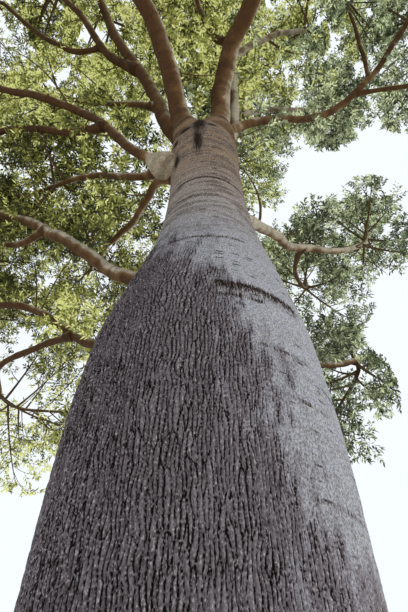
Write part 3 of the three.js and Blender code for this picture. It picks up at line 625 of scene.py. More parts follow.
def new_piece(name, points, polygons, materials, nodes, values=None, unwrapped=None,
              faces=None, normals=None):
    """Makes a smooth-shaded mesh object at the origin from whole arrays: points, a list of polygon
    arrays with one row of point numbers each, named values at the points, and the bake map's place
    for every corner. faces gives each polygon's material."""
    mesh = bpy.data.meshes.new(name)
    mesh.vertices.add(len(points))
    mesh.vertices.foreach_set("co", np.ascontiguousarray(points, np.float32).ravel())
    corners = np.concatenate([rows.ravel() for rows in polygons]).astype(np.int32)
    counts = np.concatenate([np.full(len(rows), rows.shape[1]) for rows in polygons])
    mesh.loops.add(len(corners))
    mesh.loops.foreach_set("vertex_index", corners)
    mesh.polygons.add(len(counts))
    mesh.polygons.foreach_set("loop_start", (np.cumsum(counts) - counts).astype(np.int32))
    mesh.polygons.foreach_set("use_smooth", np.ones(len(counts), bool))
    for material in materials:
        mesh.materials.append(material)
    if faces is not None:
        mesh.polygons.foreach_set("material_index", faces.astype(np.int32))
    mesh.update(calc_edges=True)
    for key, numbers in (values or {}).items():
        attribute = mesh.attributes.new(key, "FLOAT", "POINT")
        attribute.data.foreach_set("value", np.ascontiguousarray(numbers, np.float32).ravel())
    if unwrapped is not None:
        layer = mesh.uv_layers.new(name=BAKE_MAP)
        layer.data.foreach_set("uv", np.ascontiguousarray(unwrapped, np.float32).ravel())
    if mesh.validate():
        raise RuntimeError(f"{name} had broken faces")
    if normals is not None:
        mesh.normals_split_custom_set_from_vertices(normals.reshape(-1, 3))
    piece = bpy.data.objects.new(name, mesh)
    bpy.context.scene.collection.objects.link(piece)
    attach(piece, "root")
    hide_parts(*nodes)
    return piece


def grid_quads(rows, columns, first=0):
    """Point numbers of the quads of a grid that closes on itself across its columns, facing out
    where the columns run anticlockwise seen from the end of the rows."""
    row = np.arange(rows - 1)[:, None] * columns
    column = np.arange(columns)
    after = (column + 1) % columns
    corners = (row + column, row + after, row + columns + after, row + columns + column)
    return first + np.stack(np.broadcast_arrays(*corners), -1).reshape(-1, 4)


def grid_map(rows, columns):
    """The bake map's corners for such a grid's quads, as shares across and along it."""
    low, left = np.meshgrid(np.arange(rows - 1) / (rows - 1), np.arange(columns) / columns, indexing="ij")
    high, right = low + 1 / (rows - 1), left + 1 / columns
    corners = ((left, low), (right, low), (right, high), (left, high))
    return np.stack([np.stack(corner, -1) for corner in corners], -2).reshape(-1, 2)


# Materials


def add_node(tree, kind, links=None, **settings):
    """Adds a node. Settings that name one of its properties are set, and links maps an input to a
    value, or to the output that feeds it."""
    node = tree.nodes.new(kind)
    for key, value in settings.items():
        setattr(node, key, value)
    for key, value in (links or {}).items():
        if isinstance(value, bpy.types.NodeSocket):
            tree.links.new(value, node.inputs[key])
        else:
            node.inputs[key].default_value = value
    return node


def new_material(name, **values):
    """A material with one Principled shader, and that shader with its plain values set."""
    material = bpy.data.materials.new(name)
    material.use_nodes = True
    tree = material.node_tree
    tree.nodes.clear()
    shader = add_node(tree, "ShaderNodeBsdfPrincipled", values)
    add_node(tree, "ShaderNodeOutputMaterial", {"Surface": shader.outputs["BSDF"]})
    return material, tree, shader


def rgba(colour):
    """A colour property's value with full alpha."""
    return (*colour, 1.0)


def draw_bark(tree, shader, settings, shown, sums, layers, relief, strength):
    """Draws a bark from two lists. Each of the sums works a share out of earlier ones and of numbers:
    RANGE takes a value, the two values between which it counts and what the share is at each of them,
    or else 0 and 1, and the others are the operations of a Math node. Each layer lays a colour over
    another by a share, and the last one is the bark's. The bump is taken from the share relief."""
    for name, operation, *inputs in sums:
        links = {place: shown.get(value, value) for place, value in enumerate(inputs)}
        if operation == "RANGE":
            node = add_node(tree, "ShaderNodeMapRange", links)
        else:
            node = add_node(tree, "ShaderNodeMath", links, operation=operation)
        shown[name] = node.outputs[0]
    colours = {key: rgba(getattr(settings, key)) for key in BARK_COLOURS}
    for name, below, share, over in layers:
        links = {0: shown[share], 6: colours[below], 7: colours[over]}
        colours[name] = add_node(tree, "ShaderNodeMix", links, data_type="RGBA").outputs[2]
    tree.links.new(colours[name], shader.inputs["Base Color"])
    links = {"Height": shown[relief], "Distance": BUMP_DEPTH, "Strength": strength}
    bump = add_node(tree, "ShaderNodeBump", links)
    tree.links.new(bump.outputs["Normal"], shader.inputs["Normal"])


def trunk_bark_material(settings):
    """Weathered trunk bark, grown and not worked: corky grey-brown plates with a purple cast, darker
    towards their edges by painted shade, between near-black fissures, which give way to a thin pale skin
    with fine rings, dark dashes and torn scars. Dull all over, so the relief is read from its shade."""
    material, tree, shader = new_material(
        "fissured bottle tree bark", **{"Roughness": 0.92, "IOR": 1.45, "Specular IOR Level": 0.15}
    )
    shown = {
        name: add_node(tree, "ShaderNodeAttribute", attribute_name=name).outputs["Fac"]
        for name in ("edge", "plate", "weathered", "scar", "rise")
    }
    place = add_node(tree, "ShaderNodeTexCoord").outputs["Object"]
    # Cells per metre along X, Y and Z. Specks are 9 mm across, patches 70 mm and more, thin cracks
    # 12 mm apart and 50 mm long, rings 60 mm apart and dashes 80 mm by 15 mm: the last two are drawn
    # several times as coarse as they are, so that they show from the ground.
    for name, scale, detail in (
        ("specks", (110, 110, 75), 2.0),
        ("patches", (14, 14, 5), 3.0),
        ("rings", (2.5, 2.5, 17), 3.0),
        ("threads", (85, 85, 20), 2.0),
        ("grit", (160, 160, 160), 2.0),
        ("strokes", (150, 150, 18), 1.0),
    ):
        cells = add_node(tree, "ShaderNodeMapping", {"Vector": place, "Scale": scale}).outputs[0]
        noise = add_node(tree, "ShaderNodeTexNoise", {"Vector": cells, "Scale": 1.0, "Detail": detail})
        shown[name] = noise.outputs["Fac"]
    cells = add_node(tree, "ShaderNodeMapping", {"Vector": place, "Scale": (9, 9, 48)}).outputs[0]
    dashes = add_node(tree, "ShaderNodeTexVoronoi", {"Vector": cells, "Scale": 1.0})
    shown["dashes"] = dashes.outputs["Distance"]
    picked = add_node(tree, "ShaderNodeSeparateColor", {"Color": dashes.outputs["Color"]})
    shown["picked"] = picked.outputs["Red"]
    fissure = settings.fissure_width
    sums = (
        # A fissure is ragged by the specks and wider in some patches than in others.
        ("ragged", "RANGE", "specks", 0.3, 0.7, 0.0024, -0.0024),
        ("away", "ADD", "edge", "ragged"),
        ("width", "RANGE", "patches", 0.35, 0.68, 0.6 * fissure, 1.35 * fissure),
        ("narrow", "MULTIPLY", "width", 0.5),
        ("crack", "RANGE", "away", "narrow", "width", 1.0, 0.0),
        ("kept", "RANGE", "weathered", 0.35, 1.0, 1.0, 0.2),
        ("crack", "MULTIPLY", "crack", "kept"),
        # Cork: plates with painted shade towards their edges, thin broken cracks and specks.
        ("painted_edge_shade", "RANGE", "edge", 0.001, 0.006, 0.4, 0.0),
        ("thread", "SUBTRACT", "threads", 0.5),
        ("thread", "ABSOLUTE", "thread"),
        ("thread", "RANGE", "thread", 0.008, 0.03, 0.7, 0.0),
        ("split", "RANGE", "patches", 0.4, 0.55),
        ("thread", "MULTIPLY", "thread", "split"),
        ("speckled", "RANGE", "specks", 0.52, 0.66, 0.0, 0.6),
        ("rubbed", "RANGE", "specks", 0.42, 0.31, 0.0, 0.7),
        # Skin: mottled, with rings that get stronger up the neck, flecks, worn spots and dashes.
        ("mottled", "RANGE", "grit", 0.35, 0.65),
        ("lined", "RANGE", "rings", 0.47, 0.61),
        ("ringed", "RANGE", "rise", 0.0, 0.5, 0.12, 1.0),
        ("lined", "MULTIPLY", "lined", "ringed"),
        ("grainy", "RANGE", "rise", 0.0, 0.6, 0.62, 0.6),
        ("fleck", "RANGE", "specks", 0.45, 0.33, 0.0, "grainy"),
        ("worn", "RANGE", "specks", 0.52, 0.63, 0.0, "grainy"),
        ("chosen", "RANGE", "picked", 0.82, 0.9),
        ("dash", "RANGE", "dashes", 0.42, 0.22),
        ("dash", "MULTIPLY", "dash", "chosen"),
        ("bare", "RANGE", "weathered", 0.1, 0.95),
        # A scar or a stain is dark in its middle with a brown rim. On the belly upright strokes
        # break it up.
        ("swing", "RANGE", "rise", 0.0, 0.6, 2.6, 0.7),
        ("torn", "SUBTRACT", "strokes", 0.5),
        ("torn", "MULTIPLY_ADD", "torn", "swing", "scar"),
        ("present", "RANGE", "scar", 0.02, 0.2),
        ("rim", "RANGE", "torn", 0.0, 0.5, 0.0, 0.65),
        ("rim", "MULTIPLY", "rim", "present"),
        ("torn", "RANGE", "torn", 0.4, 0.75),
        ("torn", "MULTIPLY", "torn", "present"),
        # Grain of the cork and of the skin, and the ragged sides of the fissures.
        ("relief", "MULTIPLY_ADD", "crack", -2.0, "specks"),
    )
    layers = (
        ("cork", "cork_dark", "plate", "cork_light"),
        ("cork", "cork", "painted_edge_shade", "fissure_and_shade_colour"),
        ("cork", "cork", "thread", "fissure_and_shade_colour"),
        ("cork", "cork", "speckled", "fissure_and_shade_colour"),
        ("cork", "cork", "rubbed", "cork_rubbed"),
        ("skin", "skin_grey", "mottled", "skin_pale"),
        ("skin", "skin", "rise", "skin_warm"),
        ("skin", "skin", "lined", "skin_line"),
        ("skin", "skin", "fleck", "skin_fleck"),
        ("skin", "skin", "worn", "skin_line"),
        ("skin", "skin", "dash", "scar_colour"),
        ("bark", "cork", "bare", "skin"),
        ("bark", "bark", "crack", "fissure_and_shade_colour"),
        ("bark", "bark", "rim", "stain_colour"),
        ("bark", "bark", "torn", "scar_colour"),
    )
    draw_bark(tree, shader, settings, shown, sums, layers, "relief", 0.9)
    return material


def bough_bark_material(settings):
    """Young bark of the boughs, grown and not worked: a thin brown skin, fresh and warm below and tan to
    pale on the side where light falls, which is painted light as well as bleached bark, with close rings
    and darker collars at the forks. A little smoother than the trunk's."""
    material, tree, shader = new_material(
        "ringed bough bark", **{"Roughness": 0.8, "IOR": 1.45, "Specular IOR Level": 0.25}
    )
    shown = {
        name: add_node(tree, "ShaderNodeAttribute", attribute_name=name).outputs["Fac"]
        for name in ("paleness", "ring", "foot")
    }
    place = add_node(tree, "ShaderNodeTexCoord").outputs["Object"]
    for name, scale, detail in (("patches", 8.0, 4.0), ("grain", 70.0, 3.0)):
        noise = add_node(tree, "ShaderNodeTexNoise", {"Vector": place, "Scale": scale, "Detail": detail})
        shown[name] = noise.outputs["Fac"]
    sums = (
        ("spread", "RANGE", "patches", 0.3, 0.7, -0.14, 0.14),
        ("lit", "ADD", "paleness", "spread"),
        # Tan and then pale towards the lit side: painted light, partly bleached bark.
        ("tan", "RANGE", "lit", 0.05, 0.5),
        ("pale", "RANGE", "lit", 0.45, 0.85),
        ("grainy", "RANGE", "grain", 0.5, 0.68, 0.0, 0.7),
    )
    layers = (
        ("bark", "bough_brown", "tan", "bough_tan_lit"),
        ("bark", "bark", "pale", "bough_pale_lit"),
        ("bark", "bark", "foot", "skin_warm"),
        ("bark", "bark", "grainy", "bough_dark"),
        ("bark", "bark", "ring", "bough_dark"),
    )
    draw_bark(tree, shader, settings, shown, sums, layers, "grain", 0.8)
    return material


def plain_material(name, colour, roughness, shine=0.3, glow=0.0):
    """One plain finish, with nothing drawn on it."""
    values = {"Base Color": rgba(colour), "Roughness": roughness, "Specular IOR Level": shine, "IOR": 1.45}
    if glow:
        values |= {"Emission Color": rgba(colour), "Emission Strength": glow}
    return new_material(name, **values)[0]


# Trunk


def trunk_middle(height):
    """X of the trunk's middle at a height."""
    return smooth_values(TRUNK_LEAN, height)


def trunk_radius(height, angle):
    """Radius of the trunk at a height and an angle: its profile, and round the foot waves that fade
    with height as exp(-(height / 0.55)²) and make the root lobes."""
    fade = np.exp(-((height / ROOT_FLARE_HEIGHT) ** 2))
    lobes = sum(share * np.cos(count * angle + turn) for share, count, turn in ROOT_LOBES)
    return smooth_values(TRUNK_PROFILE, height) + ROOT_FLARE * fade * lobes


def outside_trunk(points):
    """How far points are outside the trunk: the distance from its axis less its radius there, and
    above the dome's foot the distance from the dome's middle less the dome's radius."""
    x, y, z = np.moveaxis(points, -1, 0)
    above = np.maximum(z - DOME_FOOT, 0)
    away = np.sqrt((x - trunk_middle(np.minimum(z, DOME_FOOT))) ** 2 + y**2 + above**2)
    return away - smooth_values(TRUNK_PROFILE, np.minimum(z, DOME_FOOT))


def belly_rows():
    """Heights of the belly's rows: each row is as high as ROW_HEIGHTS gives for where it starts."""
    heights = [0.0]
    spacing = np.array(ROW_HEIGHTS).T
    while heights[-1] < NECK_FOOT:
        heights.append(heights[-1] + float(np.interp(heights[-1], *spacing)))
    return np.array(heights) * NECK_FOOT / heights[-1]


def round_trunk(radius, angles, heights):
    """Points round the trunk's leaning axis."""
    x = trunk_middle(heights) + radius * np.cos(angles)
    return np.stack([x, radius * np.sin(angles), heights + 0 * angles], -1)


def round_by(angles, middle):
    """Degrees from a middle angle, between -180 and 180."""
    return (np.degrees(angles) - middle + 180) % 360 - 180


def bark_noise(name, points):
    """The trunk's noise with that name, from -1 to 1."""
    seed, cells = BARK_NOISES[name]
    return noise_at(seed, points, cells)


def skin_values(angles, heights, points):
    """What the trunk's skin shows at each point: how weathered it is, how much paler the cork is near
    that, how strong a scar or a stain is, and its share of the way up the neck. The weathered share
    rises round a line that WEATHERED_FROM gives by angle, over 0.7 m where that line is level and
    more where it is steep, broken up by noise. A scar is a bell curve across its height, in a window
    of angles, and a stain is an ellipse with a soft rim."""
    degrees = (np.degrees(angles) + 180) % 360 - 180
    line = smooth_values(WEATHERED_FROM, degrees)
    ahead, behind = (smooth_values(WEATHERED_FROM, degrees + step) for step in (LINE_STEP, -LINE_STEP))
    steep = (ahead - behind) / LINE_SPAN
    reach = WEATHER_REACH * np.sqrt(1 + np.minimum(steep**2, MOST_STEEP**2))
    ragged = WEATHER_RAGGED[0] * bark_noise("weathering", points)
    ragged += WEATHER_RAGGED[1] * bark_noise("fine weathering", points)
    above = (heights - line) / reach
    weathered = smooth_step(*WEATHER_RISE, above + ragged)
    paleness = smooth_step(*BLEACH_RISE, above)
    wobble = SCAR_WOBBLE * bark_noise("wobble", points)
    strokes = np.clip(0.5 + STROKE_CONTRAST * bark_noise("strokes", points), 0, 1)
    broken = (1 - SCAR_GAPS) + SCAR_GAPS * strokes
    scar = np.zeros_like(weathered)
    for height, middle, spread, width, strength in RING_SCARS:
        over = heights - height - wobble
        wide = np.where(over > 0, *TORN_SIDES) * width if strength > 1 else width
        across = np.exp(-((over / wide) ** 2))
        along = smooth_step(1, SCAR_FADE, np.abs(round_by(angles, middle)) / spread)
        scar = np.maximum(scar, np.minimum(across * along * strength * broken * SCAR_STRENGTH, 1))
    for middle, height, spread, tall in STAINS:
        away = np.hypot(round_by(angles, middle) / spread, (heights - height) / tall)
        stain = STAIN_STRENGTH * smooth_step(*STAIN_RIM, away + STAIN_RAGGED * strokes)
        scar = np.maximum(scar, stain)
    return weathered, paleness, scar, smooth_step(*NECK_RISE, heights)


def plate_edges(angles, heights, sway, count, tall, seed):
    """How far each point is from the edge of its cork plate, in metres, and a share from 0 to 1 that
    its whole plate has. The trunk's round is cut in count by tall boxes, swayed sideways by noise,
    each box has one middle at a random place, and a plate is all that is nearest to its middle. On
    the left the boxes are wider, by a tanh step taken off their count there. The way to an edge is
    measured to the line halfway between the middles of two plates, and a level edge counts as up to
    3.5 times as far, which makes it fine."""
    wide = 2 * np.pi * smooth_values(TRUNK_PROFILE, heights) / count
    size = np.stack([wide, np.full_like(wide, tall)], -1)
    left, reach = np.radians(WIDE_PLATES[:2])
    rarer = WIDE_PLATES[2] * reach
    steps = sum(np.tanh((angles - left + turn) / reach) for turn in (-2 * np.pi, 0, 2 * np.pi))
    round_share = angles / (2 * np.pi) * (1 + rarer / np.pi) - rarer * steps / (2 * np.pi)
    place = np.stack([(round_share + 0.5) * count + sway, heights / tall], -1)
    home = np.floor(place).astype(np.int64)
    nearest = np.full(wide.shape, np.inf)
    own = np.zeros_like(place)
    share = np.zeros_like(wide)
    middles = []
    for step in itertools.product((-1, 0, 1), repeat=2):
        cell = home + step
        key = (cell[..., 0] % count, cell[..., 1])
        stray = np.stack([cell_share(seed + 1, *key), cell_share(seed + 2, *key)], -1) - 0.5
        there = cell + 0.5 + stray * PLATE_JITTER
        away = np.sum((there - place) ** 2, -1)
        closer = away < nearest
        nearest = np.where(closer, away, nearest)
        own = np.where(closer[..., None], there, own)
        share = np.where(closer, cell_share(seed + 3, *key), share)
        middles.append(there)
    edge = np.full_like(nearest, np.inf)
    for there in middles:
        between = there - own
        slope = np.linalg.norm(between / size, axis=-1)
        away = np.sum((0.5 * (there + own) - place) * between, -1) / np.maximum(slope, TINY)
        level = np.abs(between[..., 1] / tall) / np.maximum(slope, TINY)
        edge = np.where(slope > TINY, np.minimum(edge, away * (1 + LEVEL_EDGE * level**2)), edge)
    return edge, share


def bark_grid(heights):
    """The belly's bark as a grid of rows and columns. Each point stands off the trunk's round by a low
    crown on its cork plate, less the depth of the fissure, which falls with the distance from the
    plate's edge as exp(-(distance / width)²), and slow lumps and grit by noise. Edges count as nearer
    on the left, which makes the fissures wider there. Where the bark is weathered the fissures are a
    fifth as deep. Returns points and named values."""
    settings = bpy.context.scene.bottle_bark
    angles, high = np.meshgrid(np.linspace(-np.pi, np.pi, COLUMNS, endpoint=False), heights)
    radius = trunk_radius(high, angles)
    smooth = round_trunk(radius, angles, high)
    weathered, paleness, scar, rise = skin_values(angles, high, smooth)
    sway = PLATE_SWAY[0] * bark_noise("sway", smooth)
    sway += PLATE_SWAY[1] * bark_noise("slow sway", smooth)
    layers = [plate_edges(angles, high, sway, *plates) for plates in PLATES]
    above = high + SHORT_RAGGED * bark_noise("short plates", smooth) > SHORT_FROM
    edge = np.where(above, layers[1][0], layers[0][0])
    share = np.where(above, layers[1][1], layers[0][1])
    edge = edge * (1 - LEFT_WIDENING * smooth_step(*LEFT_SIDE, np.cos(angles)))
    usual, varied = FISSURE_SHARES
    width = settings.fissure_width * (usual + varied * bark_noise("width", smooth))
    fissure = np.exp(-((edge / width) ** 2)) * (1 - WORN_FISSURES * weathered)
    crown = np.minimum(edge / CROWN_SLOPE, 1) * (1 - WORN_PLATES * weathered)
    relief = settings.fissure_depth * (CROWN_SHARE * crown - fissure)
    fine = BELLY_RELIEF["lumps"] * bark_noise("lumps", smooth)
    fine += BELLY_RELIEF["grit"] * bark_noise("grit", smooth)
    fine += BELLY_RELIEF["plates"] * (share - 0.5) * (1 - weathered)
    fine += BELLY_RELIEF["folds"] * bark_noise("folds", smooth) * weathered
    relief += fine * MM
    relief -= BELLY_RELIEF["scars"] * MM * scar
    relief *= smooth_step(0, GROUND_FADE, high)
    tone = PLATE_TONE * share + (1 - PLATE_TONE) * (0.5 + 0.5 * bark_noise("shade", smooth))
    tone -= DARK_BELLY[0] * smooth_step(*DARK_BELLY[1:], high)
    tone += BLEACHED_TONE * paleness * smooth_step(*BLEACHED_TURN, np.cos(angles))
    tone += WORN_TONE[0] * smooth_step(0, WORN_TONE[1], weathered)
    edge = edge * (1 + WORN_EDGE[0] * smooth_step(*WORN_EDGE[1:], weathered))
    values = {"edge": edge, "plate": tone, "weathered": weathered, "scar": scar, "rise": rise}
    return round_trunk(radius + relief, angles, high), values


def neck_grid(heights, angles):
    """The neck as a plain grid: the trunk's round, with low folds that ring it and its scars sunk in."""
    high = np.broadcast_to(heights[:, None], (len(heights), angles.shape[-1]))
    angles = np.broadcast_to(angles, high.shape)
    radius = trunk_radius(high, angles)
    smooth = round_trunk(radius, angles, high)
    weathered, _, scar, rise = skin_values(angles, high, smooth)
    relief = NECK_RELIEF["lumps"] * bark_noise("lumps", smooth)
    relief += NECK_RELIEF["folds"] * bark_noise("folds", smooth)
    relief -= NECK_RELIEF["scars"] * scar
    edge, tone = np.full_like(scar, NECK_EDGE), np.full_like(scar, NECK_TONE)
    values = {"edge": edge, "plate": tone, "weathered": weathered, "scar": scar, "rise": rise}
    return round_trunk(radius + relief * MM, angles, high), values


def grid_normals(points):
    """Outward normals of a grid closed across its columns: the cross product of the step to the next
    column less that to the one before, and the same of the rows."""
    across = np.roll(points, -1, axis=1) - np.roll(points, 1, axis=1)
    along = np.gradient(points, axis=0)
    return unit(np.cross(across, along))


def make_trunk(material):
    """The trunk's belly in bands, each one grid, and its neck. The foot is closed by one face, and the
    neck by a flat dome above its last row."""
    heights = belly_rows()
    belly, values = bark_grid(heights)
    normals = grid_normals(belly)
    columns = belly.shape[1]
    edges = np.linspace(0, len(heights) - 1, BANDS + 1).round().astype(int)
    for number, (low, high) in enumerate(zip(edges, edges[1:])):
        rows = slice(low, high + 1)
        quads = grid_quads(high + 1 - low, columns)
        corners = grid_map(high + 1 - low, columns)
        polygons = [quads]
        if low == 0:
            polygons.append(np.arange(columns)[None, ::-1])
            turn = 2 * np.pi * np.arange(columns)[::-1] / columns
            foot = CAP_MAP + 0.5 * CAP_MAP * np.stack([np.cos(turn), np.sin(turn)], -1)
            corners = np.concatenate([corners, foot])
        new_piece(
            f"trunk_belly_{number + 1}", belly[rows].reshape(-1, 3), polygons, [material],
            ["trunk"], {key: numbers[rows] for key, numbers in values.items()}, corners,
            normals=normals[rows],
        )
    rim = belly[-1, ::2]
    angles = np.unwrap(np.arctan2(rim[:, 1], rim[:, 0] - trunk_middle(NECK_FOOT)))
    last = TRUNK_PROFILE[-1][0]
    heights = np.linspace(NECK_FOOT, last, round((last - NECK_FOOT) / NECK_ROW) + 1)
    neck, values = neck_grid(heights, angles)
    neck[0] = rim
    columns = neck.shape[1]
    top = np.array([[trunk_middle(TRUNK_TOP), 0, TRUNK_TOP]])
    quads = grid_quads(len(heights), columns)
    around = (len(heights) - 1) * columns + np.arange(columns)
    fan = np.stack([around, np.roll(around, -1), np.full(columns, neck[..., 0].size)], -1)
    corners = grid_map(len(heights), columns)
    share = np.arange(columns) / columns
    ones = np.ones(columns)
    tip = np.stack([share, ones, share + 1 / columns, ones, share + 0.5 / columns, ones], -1)
    normals = np.concatenate([grid_normals(neck).reshape(-1, 3), [[0, 0, 1]]])
    new_piece(
        "trunk_neck", np.concatenate([neck.reshape(-1, 3), top]), [quads, fan], [material],
        ["trunk"],
        {key: np.append(numbers.ravel(), numbers[-1].mean()) for key, numbers in values.items()},
        np.concatenate([corners, tip.reshape(-1, 2)]), normals=normals,
    )


# Limbs


def heading_vectors(bearings, climbs):
    """Unit vectors with the given bearings from +X towards +Y and climbs above level, in degrees."""
    bearings, climbs = np.radians(bearings), np.radians(climbs)
    level = np.cos(climbs)
    return np.stack([level * np.cos(bearings), level * np.sin(bearings), np.sin(climbs)], -1)


def curve_through(nodes, shares):
    """Points at shares of a smooth curve through evenly spaced nodes, one cubic for each axis."""
    numbers = np.arange(len(nodes))
    at = np.asarray(shares) * (len(nodes) - 1)
    return np.stack([smooth_values(np.stack([numbers, axis], -1), at) for axis in nodes.T], -1)


def curve_point(start, bend, end, t):
    """Points of quadratic curves from start to end that leave towards bend, at share t of their way."""
    return (1 - t) ** 2 * start + 2 * t * (1 - t) * bend + t**2 * end


def bezier(start, bend, end, shares):
    """Such curves at a row of shares of their way, for whole arrays of curves."""
    curves = [points[..., None, :] for points in (start, bend, end)]
    return curve_point(*curves, np.asarray(shares)[:, None])


def bezier_heading(start, bend, end, share):
    """Unit headings of such curves at a share of their way."""
    share = np.asarray(share)[..., None]
    return unit((1 - share) * (bend - start) + share * (end - bend))


def grow_limbs():
    """Every limb's nodes, smooth path, radii and foliage space, in the source's order: a limb takes
    even steps, each along the bearing and climb at the middle of that step, and its radius runs
    evenly from foot to tip. A swelling adds to it by a bell curve, with its middle at the foot or,
    where OWN_SWELL says so, further along."""
    limbs = {}
    for name, parent_name, at, bearings, climbs, length, radii, offset, half in LIMBS:
        steps = max(LEAST_STEPS, round(length / STEP_LENGTH))
        if parent_name == "trunk":
            start = np.array([trunk_middle(at), 0, at], float)
            carrier = float(trunk_radius(at, 0))
        else:
            parent = limbs[parent_name]
            place = at * (len(parent["nodes"]) - 1)
            before = min(int(place), len(parent["nodes"]) - 2)
            step = parent["nodes"][before + 1] - parent["nodes"][before]
            start = parent["nodes"][before] + step * (place - before)
            carrier = float(np.interp(at, parent["shares"], parent["radii"]))
        middles = (np.arange(steps) + 0.5) / steps
        headings = heading_vectors(even_values(bearings, middles), even_values(climbs, middles))
        nodes = np.concatenate([[start], start + np.cumsum(headings, 0) * length / steps])
        shares = np.linspace(0, 1, round(length / LIMB_RING) + 1)
        swell, middle, reach = OWN_SWELL.get(name, (FOOT_SWELL, 0.0, SWELL_REACH * carrier))
        swell = swell * np.exp(-(((shares * length - middle) / reach) ** 2))
        limbs[name] = {
            "parent": parent_name,
            "nodes": nodes,
            "shares": shares,
            "path": curve_through(nodes, shares),
            "radii": even_values(radii, shares) * (1 + swell),
            "foot": radii[0],
            "tip": nodes[-1],
            "heading": unit(nodes[-1] - nodes[-2]),
            "tip_radius": radii[-1],
            "centre": nodes[-1] + offset + SHIFTS.get(name, (0.0, 0.0, 0.0)),
            "half": np.array(half, float),
            "size": float(np.prod(half)) ** (1 / 3),
        }
    return limbs


def outside_path(points, path, radii):
    """How far points are outside a tube: the least distance to a point of its path, less the radius
    there."""
    away = np.linalg.norm(points[..., None, :] - path, axis=-1) - radii
    return away.min(-1)


def outside_carrier(points, limb, limbs):
    """How far points are outside what carries a limb: the trunk, or its parent's tube."""
    if limb["parent"] == "trunk":
        return outside_trunk(points)
    parent = limbs[limb["parent"]]
    return outside_path(points, parent["path"], parent["radii"])


def circle_round(path, helper, sides):
    """Unit vectors out from paths to a tube's sides: at each point of a path a circle square to the
    path's own direction, whose first vector lies on the side of the helper."""
    along = unit(np.gradient(path, axis=-2))
    across = unit(helper - np.sum(helper * along, -1, keepdims=True) * along)
    up = np.cross(along, across)
    turn = 2 * np.pi * np.arange(sides)[:, None] / sides
    return np.cos(turn) * across[..., None, :] + np.sin(turn) * up[..., None, :]


def bough_grid(name, limbs, spaces):
    """One bough's mesh as a grid: a tube along its limb and on along the stem of its foliage. Near
    what carries it every point moves outwards by a share of the radius that falls as
    exp(-distance / reach), which rounds the fork's inner corner. Rings and knobs stand out of it."""
    limb = limbs[name]
    stem = spaces["stems"][name]
    on_trunk = limb["parent"] == "trunk"
    thick = limb["foot"] >= THICK_LIMB
    rough = SMOOTH_SHARE if thick else 1.0
    sides = LIMB_SIDES[0] if thick else LIMB_SIDES[1]
    path = np.concatenate([limb["path"], stem["path"][1:]])
    radii = np.concatenate([limb["radii"], stem["radii"][1:]])
    first = int(np.argmax(outside_carrier(path, limb, limbs) > -FOOT_DEPTH * radii))
    path, radii = path[first:], radii[first:]
    ring = np.arange(len(path))
    if not on_trunk:
        parent = limbs[limb["parent"]]
        at = np.linalg.norm(parent["path"] - path[0], axis=-1).argmin()
        radii = np.minimum(radii, FORK_FOOT[0] * parent["radii"][at] + FORK_FOOT[1] * LIMB_RING * ring)
    # The row in which a limb reads the straying noise comes from where it starts and from its name.
    row = first + len(name)
    along = ring * LIMB_RING / STRAY_LENGTH
    stray = [soft_noise(LIMB_SEEDS["stray"] + axis, along, row) for axis in range(3)]
    stray = STRAY * rough * radii[:, None] * np.stack(stray, -1)
    path = path + stray * smooth_step(0, STRAY_FROM, ring)[:, None]
    heading = unit(path[-1] - path[0])
    out = circle_round(path, unit(np.array([-heading[1], heading[0], 0.0])), sides)
    points = path[:, None] + radii[:, None, None] * out
    away = outside_carrier(points, limb, limbs)
    size = radii[:, None]
    seeds = {key: seed + list(limbs).index(name) for key, seed in LIMB_SEEDS.items()}
    fillet, reach = OWN_FILLET.get(name, FILLET)
    spread = fillet * np.exp(-np.maximum(away, 0) / (reach * size))
    (broad, broad_cells), (small, small_cells) = KNOBS
    knobs = broad * rough * noise_at(seeds["knobs"], points, broad_cells)
    knobs += small * noise_at(seeds["knobs"], points, small_cells)
    wave = RING_WAVE[0] * noise_at(seeds["waves"], points, RING_WAVE[1])
    rings = soft_noise(seeds["rings"], ring[:, None] * LIMB_RING / RING_GAP + wave, np.zeros(sides))
    rings = np.maximum(rings, 0)
    high, place, width = COLLAR
    collar = np.exp(-(((away - place * size) / (width * size + COLLAR_LEAST)) ** 2))
    swelling = size * (spread + knobs + high * collar)
    swelling += np.minimum(size, RING_RADIUS) * RING_HEIGHT * rings
    points = points + swelling[..., None] * out
    patches = rough * noise_at(seeds["patches"], points, PAINTED_LIGHT_PATCHES[1])
    pale = PALE_SHARE if name in PALE_LIMBS else 0.0
    # Painted light: a bough is paler on the side that faces the light, partly bleached bark as well.
    paleness = smooth_step(*PAINTED_LIGHT_SPAN, out @ PAINTED_LIGHT_SIDE + pale + PAINTED_LIGHT_PATCHES[0] * patches)
    foot = np.exp(-np.maximum(away, 0) / (WARM_FOOT * size)) * on_trunk
    if name == PALE_KNUCKLE:
        paleness = np.maximum(paleness, KNUCKLE_BLEACHED * smooth_step(*PALE_REACH, away))
        foot = 0 * foot
        collar = 0 * collar
    dark_rings, dark_collar = RING_SHADES
    ring_shade = np.clip(dark_rings * rings + dark_collar * collar * (away > -COLLAR_DEPTH * size), 0, 1)
    return points, {"paleness": paleness, "ring": ring_shade, "foot": foot}


